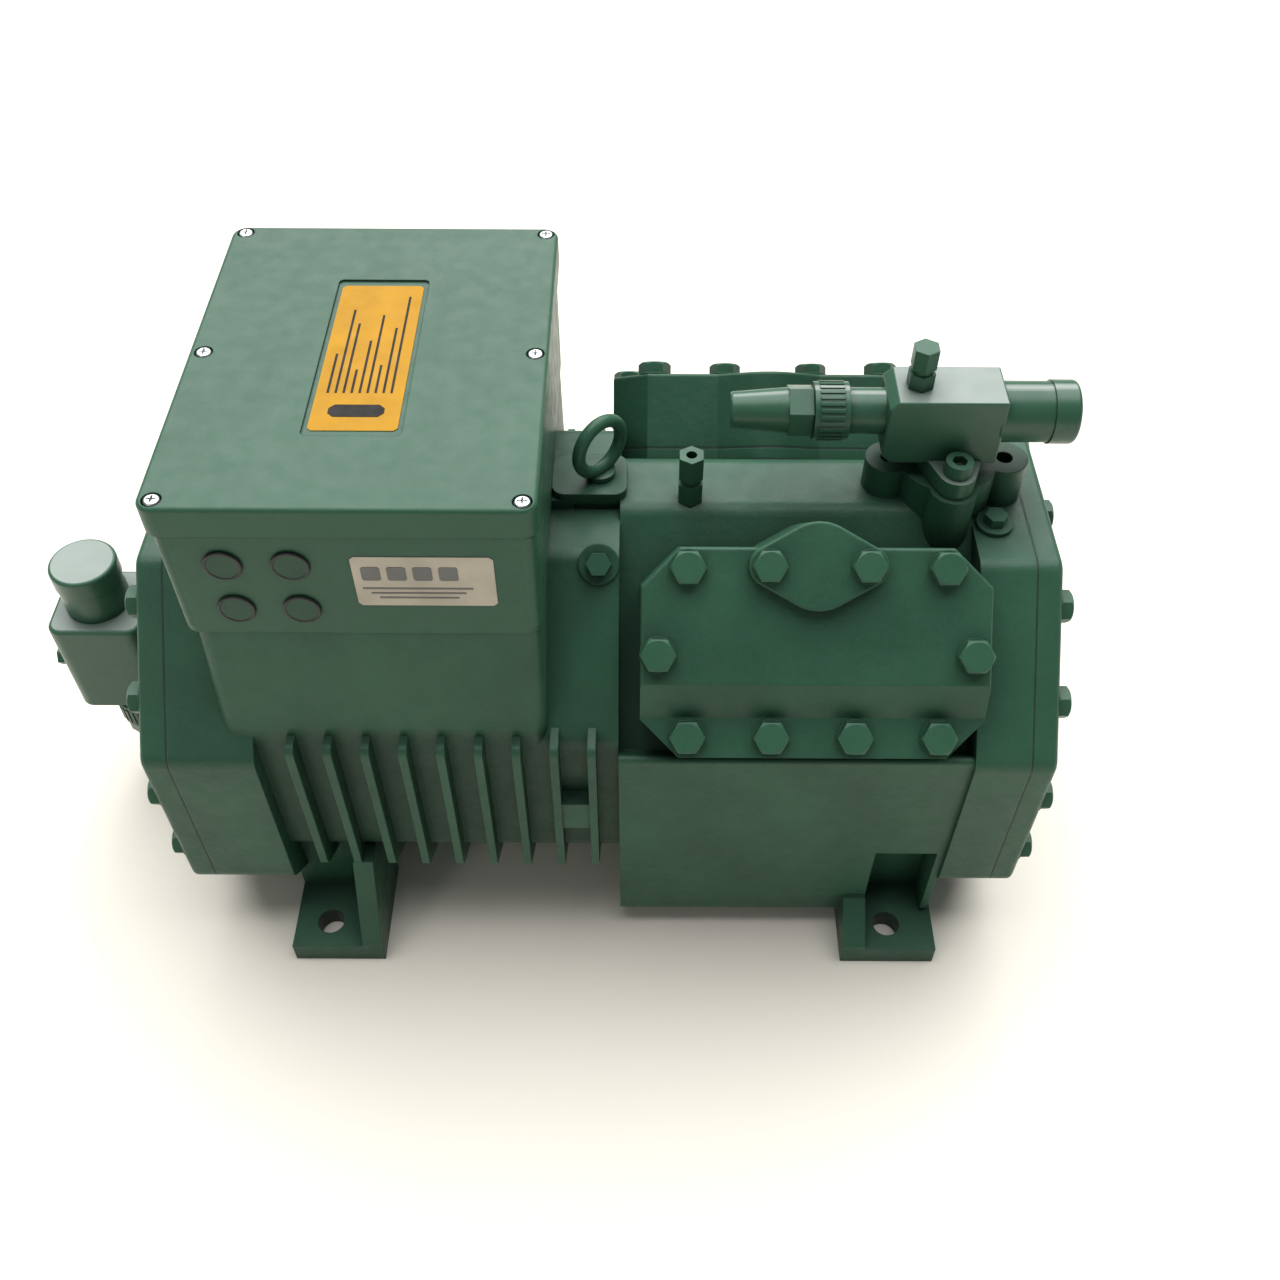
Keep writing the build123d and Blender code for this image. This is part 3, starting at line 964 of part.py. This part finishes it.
with BuildPart() as screw_plugs:
    extrude(hexagons(bank_plane(-1).offset(SLANTED_PLUG_N), SLANTED_PLUG, 13), amount=7)
    rod(bank_plane(-1), SLANTED_PLUG, 5, SLANTED_PLUG_N - 10, SLANTED_PLUG_N)
    extrude(hexagons(Plane.XY.offset(RIDGE_PLUG_Z), RIDGE_PLUG, 12), amount=6)
    rod(Plane.XY, RIDGE_PLUG, 5, RIDGE_PLUG_Z - 9, RIDGE_PLUG_Z)
    extrude(hexagons(rear_wall, REAR_PLUGS, 24), amount=9)
    rod(rear_wall, REAR_PLUGS, 9, -14, 0)
screw_plugs.part.label = "screw_plugs"
export_step(screw_plugs.part, "parts/screw_plugs.step")

with BuildPart() as oil_sight_glass:
    rod(rear_wall, SIGHT_GLASS, 19, -14, 0)
    rod(rear_wall, SIGHT_GLASS, 24, 0, 6)
    rod(rear_wall, SIGHT_GLASS, 14, -14, 6, mode=Mode.SUBTRACT)
oil_sight_glass.part.label = "oil_sight_glass"
export_step(oil_sight_glass.part, "parts/oil_sight_glass.step")

with BuildPart() as sight_window:
    rod(rear_wall, SIGHT_GLASS, 14, -10, 3)
sight_window.part.label = "sight_window"
export_step(sight_window.part, "parts/sight_window.step")

with BuildPart() as lifting_eye:
    rod(Plane.XY, [(EYE_X, 0)], 5, EYE_SEAT_Z - 16, EYE_SEAT_Z)
    rod(Plane.XY, [(EYE_X, 0)], 9, EYE_SEAT_Z, EYE_SEAT_Z + 4)
    ring_centre = EYE_SEAT_Z + 4 + EYE_RING_R + 1
    turned = Plane(origin=(EYE_X, 0, ring_centre), x_dir=(1, 1, 0), z_dir=(1, -1, 0))
    with Locations(turned.location):
        Torus(EYE_RING_R, EYE_WIRE_R)
lifting_eye.part.label = "lifting_eye"
export_step(lifting_eye.part, "parts/lifting_eye.step")
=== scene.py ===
import bmesh
import bpy
import json
from math import cos, pi, radians, sin
from mathutils import Matrix, Vector


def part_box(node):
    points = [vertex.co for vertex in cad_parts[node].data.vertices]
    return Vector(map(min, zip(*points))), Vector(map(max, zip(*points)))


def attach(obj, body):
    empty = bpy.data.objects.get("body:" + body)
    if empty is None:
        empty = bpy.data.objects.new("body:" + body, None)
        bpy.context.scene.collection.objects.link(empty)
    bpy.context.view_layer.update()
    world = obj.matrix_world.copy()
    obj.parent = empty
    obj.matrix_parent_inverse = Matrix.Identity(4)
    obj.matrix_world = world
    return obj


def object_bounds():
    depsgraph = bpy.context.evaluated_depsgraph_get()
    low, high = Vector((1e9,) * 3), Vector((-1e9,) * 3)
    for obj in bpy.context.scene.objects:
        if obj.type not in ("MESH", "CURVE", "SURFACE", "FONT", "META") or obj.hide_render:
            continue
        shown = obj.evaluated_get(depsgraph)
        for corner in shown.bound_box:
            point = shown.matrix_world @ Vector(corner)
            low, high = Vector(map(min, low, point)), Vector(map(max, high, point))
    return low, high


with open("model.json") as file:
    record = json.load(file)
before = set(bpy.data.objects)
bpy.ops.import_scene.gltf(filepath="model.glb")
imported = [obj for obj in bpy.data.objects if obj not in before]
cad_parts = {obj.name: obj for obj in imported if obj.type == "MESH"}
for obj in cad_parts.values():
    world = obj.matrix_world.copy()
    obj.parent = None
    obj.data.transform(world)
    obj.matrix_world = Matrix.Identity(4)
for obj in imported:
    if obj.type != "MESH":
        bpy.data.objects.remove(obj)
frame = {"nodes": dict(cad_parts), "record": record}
cad_box = [list(corner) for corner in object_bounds()]

# ---------------------------------------------------------------- camera
CAMERA_PLACE = (0.0194, -0.5976, 0.8302)
CAMERA_DOWN, CAMERA_TURN, CAMERA_ROLL = 49.22, -0.11, 0.37
CAMERA_LENS = 37.08


def add_camera():
    """Stands in front of the object and above it, and looks down at it."""
    data = bpy.data.cameras.new("camera")
    data.lens = CAMERA_LENS
    data.sensor_width = 36
    data.clip_start = 0.01
    camera = bpy.data.objects.new("camera", data)
    bpy.context.collection.objects.link(camera)
    turn = Matrix.Rotation(radians(CAMERA_TURN), 4, "Z")
    tilt = Matrix.Rotation(radians(90 - CAMERA_DOWN), 4, "X")
    roll = Matrix.Rotation(radians(CAMERA_ROLL), 4, "Z")
    camera.matrix_world = Matrix.Translation(CAMERA_PLACE) @ turn @ tilt @ roll
    bpy.context.scene.camera = camera


add_camera()

# ---------------------------------------------------------------- node helpers
# A colour mix node has a set of sockets for each kind of data. These are the colour ones.
FIRST_COLOUR, SECOND_COLOUR, MIXED_COLOUR = 6, 7, 2


def shade(factor, colour):
    """A colour made lighter or darker by a factor."""
    return tuple(factor * c for c in colour)


class Nodes:
    """Short calls for building one material's node tree."""

    def __init__(self, name):
        self.material = bpy.data.materials.new(name)
        self.material.use_nodes = True
        self.tree = self.material.node_tree
        self.shader = self.tree.nodes["Principled BSDF"]
        self.place = self.add("ShaderNodeTexCoord").outputs["Object"]

    def add(self, kind, **settings):
        node = self.tree.nodes.new(kind)
        for key, value in settings.items():
            setattr(node, key, value)
        return node

    def link(self, output, socket):
        self.tree.links.new(output, socket)

    def noise(self, scale, detail, roughness=0.5):
        node = self.add("ShaderNodeTexNoise")
        self.link(self.place, node.inputs["Vector"])
        for key, value in (("Scale", scale), ("Detail", detail), ("Roughness", roughness)):
            node.inputs[key].default_value = value
        return node.outputs["Fac"]

    def spread(self, value, low, high, to_low=0.0, to_high=1.0):
        node = self.add("ShaderNodeMapRange")
        self.link(value, node.inputs["Value"])
        for key, number in (("From Min", low), ("From Max", high),
                            ("To Min", to_low), ("To Max", to_high)):
            node.inputs[key].default_value = number
        return node.outputs["Result"]

    def mix(self, factor, first, second):
        """From the first colour at factor 0 to the second at 1."""
        node = self.add("ShaderNodeMix", data_type="RGBA")
        self.link(factor, node.inputs["Factor"])
        for key, colour in ((FIRST_COLOUR, first), (SECOND_COLOUR, second)):
            if isinstance(colour, tuple):
                node.inputs[key].default_value = (*colour, 1)
            else:
                self.link(colour, node.inputs[key])
        return node.outputs[MIXED_COLOUR]

    def times(self, first, second):
        node = self.add("ShaderNodeMath", operation="MULTIPLY")
        for socket, value in zip(node.inputs, (first, second)):
            if isinstance(value, (int, float)):
                socket.default_value = value
            else:
                self.link(value, socket)
        return node.outputs[0]

    def bump(self, height, strength, distance, below=None):
        node = self.add("ShaderNodeBump")
        node.inputs["Strength"].default_value = strength
        node.inputs["Distance"].default_value = distance
        self.link(height, node.inputs["Height"])
        if below:
            self.link(below, node.inputs["Normal"])
        return node.outputs["Normal"]

    def soft_edges(self, radius):
        node = self.add("ShaderNodeBevel", samples=4)
        node.inputs["Radius"].default_value = radius
        return node.outputs["Normal"]

    def edge_mask(self, soft):
        """1 on sharp edges and 0 on flat faces, from how far the softened normal leans."""
        geometry = self.add("ShaderNodeNewGeometry")
        dot = self.add("ShaderNodeVectorMath", operation="DOT_PRODUCT")
        self.link(soft, dot.inputs[0])
        self.link(geometry.outputs["True Normal"], dot.inputs[1])
        return self.spread(dot.outputs["Value"], 0.995, 0.86)

    def flat_tops(self):
        """1 on faces that lie flat and look up, which get a painted sheen."""
        geometry = self.add("ShaderNodeNewGeometry")
        parts = self.add("ShaderNodeSeparateXYZ")
        self.link(geometry.outputs["True Normal"], parts.inputs[0])
        return self.spread(parts.outputs["Z"], 0.985, 0.999)

    def corner_shade_mask(self, distance):
        """0 in tight corners, which get painted shade, and 1 in the open."""
        node = self.add("ShaderNodeAmbientOcclusion", samples=4)
        node.inputs["Distance"].default_value = distance
        return self.spread(node.outputs["AO"], 0.25, 0.95)


# ---------------------------------------------------------------- materials
# Noise scales of the paint, from the widest patches to the finest grain of the casting.
CLOUDS, CHIPS, GLOSS_PATCHES, ORANGE_PEEL, SPECKS, CAST_GRAIN = 14, 60, 90, 170, 420, 1100

PAINT = (0.024, 0.079, 0.046)
# Pale grey-green of the painted sheen on flat tops, standing in for overhead light reflected
# there.
TOP_SHEEN_COLOUR = (0.25, 0.29, 0.265)
# How far the painted shade in the corners reaches, in metres.
CORNER_SHADE_REACH = 0.02


def painted_metal(name, base=PAINT, rough=0.42, grain=1.0, edge=0.0012,
                  gloss=0.22, coat=0.04, top_sheen=0.05):
    """Thick machine paint over metal: uneven in tone and gloss, grained by the casting under
    it, pale at worn edges, with a painted sheen on flat tops and painted shade in the corners."""
    n = Nodes(name)
    soft = n.soft_edges(edge)
    clouds = n.spread(n.noise(CLOUDS, 4), 0.35, 0.65)
    specks = n.spread(n.noise(SPECKS, 3), 0.3, 0.7)
    colour = n.mix(clouds, shade(1 - 0.13 * grain, base), shade(1 + 0.1 * grain, base))
    colour = n.mix(n.times(specks, 0.16), colour, shade(1.5, base))
    chips = n.spread(n.noise(CHIPS, 3), 0.38, 0.7, 0.15, 0.7)
    worn_paint = tuple(1.6 * c + 0.008 for c in base)
    colour = n.mix(n.times(n.edge_mask(soft), chips), colour, worn_paint)
    # Painted sheen: flat tops are mixed towards a pale grey-green, as if lit by the haze of
    # overhead light.
    colour = n.mix(n.times(n.flat_tops(), top_sheen), colour, TOP_SHEEN_COLOUR)
    # Painted shade: the paint is darkened to 0.42 of its colour in tight corners, found by ambient
    # occlusion.
    colour = n.mix(n.corner_shade_mask(CORNER_SHADE_REACH), shade(0.42, base), colour)
    n.link(colour, n.shader.inputs["Base Color"])
    roughness = n.spread(n.noise(GLOSS_PATCHES, 4), 0.3, 0.7, rough - 0.07, rough + 0.09)
    n.link(roughness, n.shader.inputs["Roughness"])
    coarse = n.bump(n.noise(ORANGE_PEEL, 5, 0.6), 0.28 * grain, 0.0009, soft)
    fine = n.bump(n.noise(CAST_GRAIN, 4, 0.65), 0.22 * grain, 0.0004, coarse)
    n.link(fine, n.shader.inputs["Normal"])
    n.shader.inputs["Specular IOR Level"].default_value = gloss
    n.shader.inputs["Coat Weight"].default_value = coat
    n.shader.inputs["Coat Roughness"].default_value = 0.25
    return n.material


def bare_metal(name, base, rough):
    """Plated or machined metal with fine scratches and dull stains."""
    n = Nodes(name)
    soft = n.soft_edges(0.0004)
    stains = n.spread(n.noise(120, 5, 0.6), 0.4, 0.7)
    n.link(n.mix(n.times(stains, 0.5), base, shade(0.45, base)), n.shader.inputs["Base Color"])
    n.shader.inputs["Metallic"].default_value = 1.0
    roughness = n.spread(n.noise(260, 4), 0.3, 0.7, rough - 0.08, rough + 0.15)
    n.link(roughness, n.shader.inputs["Roughness"])
    n.link(n.bump(n.noise(900, 3), 0.15, 0.0003, soft), n.shader.inputs["Normal"])
    return n.material


def plain_material(name, base, rough, bump=0.1, gloss=0.4):
    """Plastic, rubber or printed film, with a slight mottle and grain."""
    n = Nodes(name)
    mottle = n.spread(n.noise(45, 4), 0.3, 0.7)
    colour = n.mix(mottle, shade(0.86, base), shade(1.08, base))
    n.link(colour, n.shader.inputs["Base Color"])
    roughness = n.spread(n.noise(150, 3), 0.3, 0.7, rough - 0.06, rough + 0.08)
    n.link(roughness, n.shader.inputs["Roughness"])
    n.link(n.bump(n.noise(500, 3), bump, 0.0003), n.shader.inputs["Normal"])
    n.shader.inputs["Specular IOR Level"].default_value = gloss
    return n.material


def clear_glass(name):
    """Thick clear glass of the oil sight window, faintly marked."""
    n = Nodes(name)
    n.shader.inputs["Transmission Weight"].default_value = 0.9
    n.shader.inputs["IOR"].default_value = 1.5
    n.link(n.spread(n.noise(60, 3), 0.4, 0.7, 0.03, 0.14), n.shader.inputs["Roughness"])
    tint = n.mix(n.noise(30, 2), (0.72, 0.70, 0.55), (0.86, 0.86, 0.78))
    n.link(tint, n.shader.inputs["Base Color"])
    return n.material


# Valve paint and line caps get a strong painted sheen on their flat tops.
VALVE_PAINT = dict(base=shade(1.1, PAINT), grain=0.4, edge=0.0008, gloss=0.3, top_sheen=0.8)
BLACK_PLASTIC = plain_material("black_plastic", (0.02, 0.02, 0.022), 0.45)
MATERIALS = {
    "painted_casting": painted_metal("painted_casting", rough=0.43, grain=1.3),
    "painted_box": painted_metal("painted_box", shade(1.04, PAINT), 0.38, 0.4),
    "painted_steel": painted_metal("painted_steel", shade(1.15, PAINT), 0.4, 0.45, 0.0006),
    "painted_valve": painted_metal("painted_valve", rough=0.36, coat=0.12, **VALVE_PAINT),
    "line_cap": painted_metal("line_cap", rough=0.34, coat=0.15, **VALVE_PAINT),
    "knockout": painted_metal("knockout", shade(0.8, PAINT), 0.45, 0.4, 0.0005),
    "zinc_steel": bare_metal("zinc_steel", (0.74, 0.77, 0.77), 0.28),
    "machined_steel": bare_metal("machined_steel", (0.52, 0.53, 0.54), 0.32),
    "aluminium": bare_metal("aluminium", (0.74, 0.75, 0.76), 0.38),
    "copper": bare_metal("copper", (0.62, 0.30, 0.14), 0.4),
    "bronze": bare_metal("bronze", (0.62, 0.47, 0.24), 0.35),
    "gasket": plain_material("gasket", (0.010, 0.026, 0.020), 0.6),
    "black_plastic": BLACK_PLASTIC,
    "glass": clear_glass("glass"),
}

slot_of = {entry["node"]: entry["material_slot"] for entry in frame["record"]["subparts"]}
for node, shown in frame["nodes"].items():
    shown.data.materials.clear()
    shown.data.materials.append(MATERIALS[slot_of[node]])

# ---------------------------------------------------------------- mesh helpers
X, Y, Z = Vector((1, 0, 0)), Vector((0, 1, 0)), Vector((0, 0, 1))


def finish_piece(name, mesh, material, body):
    """Turns a bmesh into a named piece with its material, which rides on a body."""
    data = bpy.data.meshes.new(name)
    mesh.to_mesh(data)
    mesh.free()
    piece = bpy.data.objects.new(name, data)
    bpy.context.collection.objects.link(piece)
    data.materials.append(material)
    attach(piece, body)


def plate(mesh, centre, across, up, size, thick, corner=0.0):
    """A thin plate with cut corners. Its back is centred on a point, and it stands out along
    the normal."""
    normal = across.cross(up)
    half_w, half_h = size[0] / 2, size[1] / 2
    c = min(corner, half_w, half_h)
    outline = [(half_w, half_h - c), (half_w - c, half_h),
               (c - half_w, half_h), (-half_w, half_h - c),
               (-half_w, c - half_h), (c - half_w, -half_h),
               (half_w - c, -half_h), (half_w, c - half_h)]
    if c == 0:
        outline = outline[::2]
    low = [mesh.verts.new(centre + across * x + up * y) for x, y in outline]
    high = [mesh.verts.new(v.co + normal * thick) for v in low]
    mesh.faces.new(list(reversed(low)))
    mesh.faces.new(high)
    for i in range(len(low)):
        j = (i + 1) % len(low)
        mesh.faces.new((low[i], low[j], high[j], high[i]))


RING_STEPS, RING_SIDES = 48, 12


def ring(mesh, centre, first, second, radius, wire):
    """A torus round a centre, in the plane of two directions."""
    axis = first.cross(second)
    loops = []
    for i in range(RING_STEPS):
        turn = 2 * pi * i / RING_STEPS
        out = first * cos(turn) + second * sin(turn)
        loop = []
        for j in range(RING_SIDES):
            roll = 2 * pi * j / RING_SIDES
            place = centre + out * (radius + wire * cos(roll)) + axis * wire * sin(roll)
            loop.append(mesh.verts.new(place))
        loops.append(loop)
    for i in range(RING_STEPS):
        for j in range(RING_SIDES):
            k, m = (i + 1) % RING_STEPS, (j + 1) % RING_SIDES
            face = mesh.faces.new((loops[i][j], loops[k][j], loops[k][m], loops[i][m]))
            face.smooth = True


# ---------------------------------------------------------------- plate on the lid
FILM, INK_THICK = 0.0004, 0.0002
PLATE_CORNER = 0.002
YELLOW = plain_material("label_yellow", (0.43, 0.215, 0.006), 0.5, 0.05, 0.15)
WHITE = plain_material("label_white", (0.44, 0.40, 0.33), 0.5, 0.05, 0.2)
INK = plain_material("label_ink", (0.012, 0.010, 0.008), 0.5, 0.05, 0.15)
INK_GREY = plain_material("label_ink_grey", (0.12, 0.12, 0.115), 0.45, 0.05)

LID_RECESS = 0.0012
YELLOW_SIZE = (0.0475, 0.130)
# Plain lines in the place of text run from front to back, level at the front, in a row from
# left to right.
LINE_LENGTHS = (0.034, 0.075, 0.062, 0.020, 0.046, 0.070, 0.024, 0.058, 0.088)
LINE_WIDTH, LINE_STEP = 0.0013, 0.0043
FIRST_LINE_X, LINES_START_Y = -0.0175, -0.034
STRIP_SIZE, STRIP_CORNER, STRIP_Y = (0.030, 0.010), 0.003, -0.049

lid_low, lid_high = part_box("terminal_lid")
lid_middle = (lid_low + lid_high) / 2
lid_middle.z = lid_high.z - LID_RECESS

yellow = bmesh.new()
plate(yellow, lid_middle, X, Y, YELLOW_SIZE, FILM, PLATE_CORNER)
finish_piece("lid_plate", yellow, YELLOW, "terminal_cover")

marks = bmesh.new()
mark_base = lid_middle + Z * FILM
for row, length in enumerate(LINE_LENGTHS):
    along = X * (FIRST_LINE_X + LINE_STEP * row) + Y * (LINES_START_Y + length / 2)
    plate(marks, mark_base + along, X, Y, (LINE_WIDTH, length), INK_THICK)
plate(marks, mark_base + Y * STRIP_Y, X, Y, STRIP_SIZE, INK_THICK, STRIP_CORNER)
finish_piece("lid_plate_marks", marks, INK, "terminal_cover")

# ---------------------------------------------------------------- plate on the front of the box
WHITE_SIZE = (0.074, 0.0365)
WHITE_FROM_RIGHT, WHITE_FROM_TOP = 0.0595, 0.0318
SQUARES, SQUARE_SIZE, SQUARE_CORNER = 4, (0.010, 0.010), 0.001
FIRST_SQUARE_X, SQUARE_STEP, SQUARE_Z = -0.0275, 0.0135, 0.006
BARS, LONGEST_BAR, BAR_SHRINK, BAR_HEIGHT = 3, 0.058, 0.008, 0.0012
BARS_X, FIRST_BAR_Z, BAR_STEP = -0.004, -0.005, 0.0035

box_low, box_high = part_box("terminal_box")
white_middle = Vector((box_high.x - WHITE_FROM_RIGHT, box_low.y, box_high.z - WHITE_FROM_TOP))

white = bmesh.new()
plate(white, white_middle, X, Z, WHITE_SIZE, FILM, PLATE_CORNER)
finish_piece("front_plate", white, WHITE, "casing")

signs = bmesh.new()
sign_base = white_middle - Y * FILM
for column in range(SQUARES):
    place = sign_base + X * (FIRST_SQUARE_X + SQUARE_STEP * column) + Z * SQUARE_Z
    plate(signs, place, X, Z, SQUARE_SIZE, INK_THICK, SQUARE_CORNER)
for row in range(BARS):
    place = sign_base + X * BARS_X + Z * (FIRST_BAR_Z - BAR_STEP * row)
    plate(signs, place, X, Z, (LONGEST_BAR - BAR_SHRINK * row, BAR_HEIGHT), INK_THICK)
finish_piece("front_plate_marks", signs, INK_GREY, "casing")

# ---------------------------------------------------------------- black rings on the rims of the knockouts
KNOCKOUT_R, RING_R, RING_WIRE = 0.0098, 0.0092, 0.0009
low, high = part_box("knockout_plugs")
rings = bmesh.new()
for x in (low.x + KNOCKOUT_R, high.x - KNOCKOUT_R):
    for z in (low.z + KNOCKOUT_R, high.z - KNOCKOUT_R):
        ring(rings, Vector((x, low.y + RING_WIRE / 2, z)), X, Z, RING_R, RING_WIRE)
finish_piece("knockout_rings", rings, BLACK_PLASTIC, "casing")

# ---------------------------------------------------------------- floor and light
FLOOR_COLOUR = (0.79, 0.75, 0.67)
FLOOR_SIZE, FLOOR_DROP = 6, 0.0003
WORLD_COLOUR, WORLD_STRENGTH = (0.95, 0.97, 1.0), 0.22
SKY_HEIGHT, SKY_WIDTH, SKY_STRENGTH = 64, 80, 6.0
FRONT_PLACE, FRONT_TARGET = (-1.2, -1.5, 1.5), (0, 0, 0.18)
FRONT_SIZE, FRONT_WATTS, FRONT_COLOUR = 0.5, 3, (1.0, 0.97, 0.9)


def add_floor():
    """A plain pale floor just under the feet."""
    mesh = bmesh.new()
    bmesh.ops.create_grid(mesh, x_segments=1, y_segments=1, size=FLOOR_SIZE)
    data = bpy.data.meshes.new("floor")
    mesh.to_mesh(data)
    mesh.free()
    floor = bpy.data.objects.new("floor", data)
    bpy.context.collection.objects.link(floor)
    floor.location.z = cad_box[0][2] - FLOOR_DROP
    n = Nodes("floor")
    mottle = n.spread(n.noise(2, 2), 0.2, 0.8)
    colour = n.mix(mottle, shade(0.985, FLOOR_COLOUR), FLOOR_COLOUR)
    n.link(colour, n.shader.inputs["Base Color"])
    n.shader.inputs["Roughness"].default_value = 0.9
    n.shader.inputs["Specular IOR Level"].default_value = 0.1
    data.materials.append(n.material)


def add_world():
    """An even, faint light from all round."""
    world = bpy.data.worlds.new("world")
    world.use_nodes = True
    background = world.node_tree.nodes["Background"]
    background.inputs["Color"].default_value = (*WORLD_COLOUR, 1)
    background.inputs["Strength"].default_value = WORLD_STRENGTH
    bpy.context.scene.world = world


def add_lamp(name, kind, strength):
    data = bpy.data.lights.new(name, kind)
    data.energy = strength
    lamp = bpy.data.objects.new(name, data)
    bpy.context.collection.objects.link(lamp)
    return lamp


def add_sky():
    """A wide soft light from above and behind, like an overcast sky past a roof's edge."""
    lamp = add_lamp("sky", "SUN", SKY_STRENGTH)
    lamp.data.angle = radians(SKY_WIDTH)
    lamp.rotation_euler = (radians(SKY_HEIGHT - 90), 0, 0)


def add_front_light():
    """A weak warm lamp on the camera's side, which faces the object."""
    lamp = add_lamp("front_light", "AREA", FRONT_WATTS)
    lamp.data.size = FRONT_SIZE
    lamp.data.color = FRONT_COLOUR
    lamp.location = FRONT_PLACE
    sight = Vector(FRONT_TARGET) - Vector(FRONT_PLACE)
    lamp.rotation_euler = sight.to_track_quat("-Z", "Y").to_euler()


add_floor()
add_world()
add_sky()
add_front_light()
bpy.context.scene.view_settings.view_transform = "Standard"
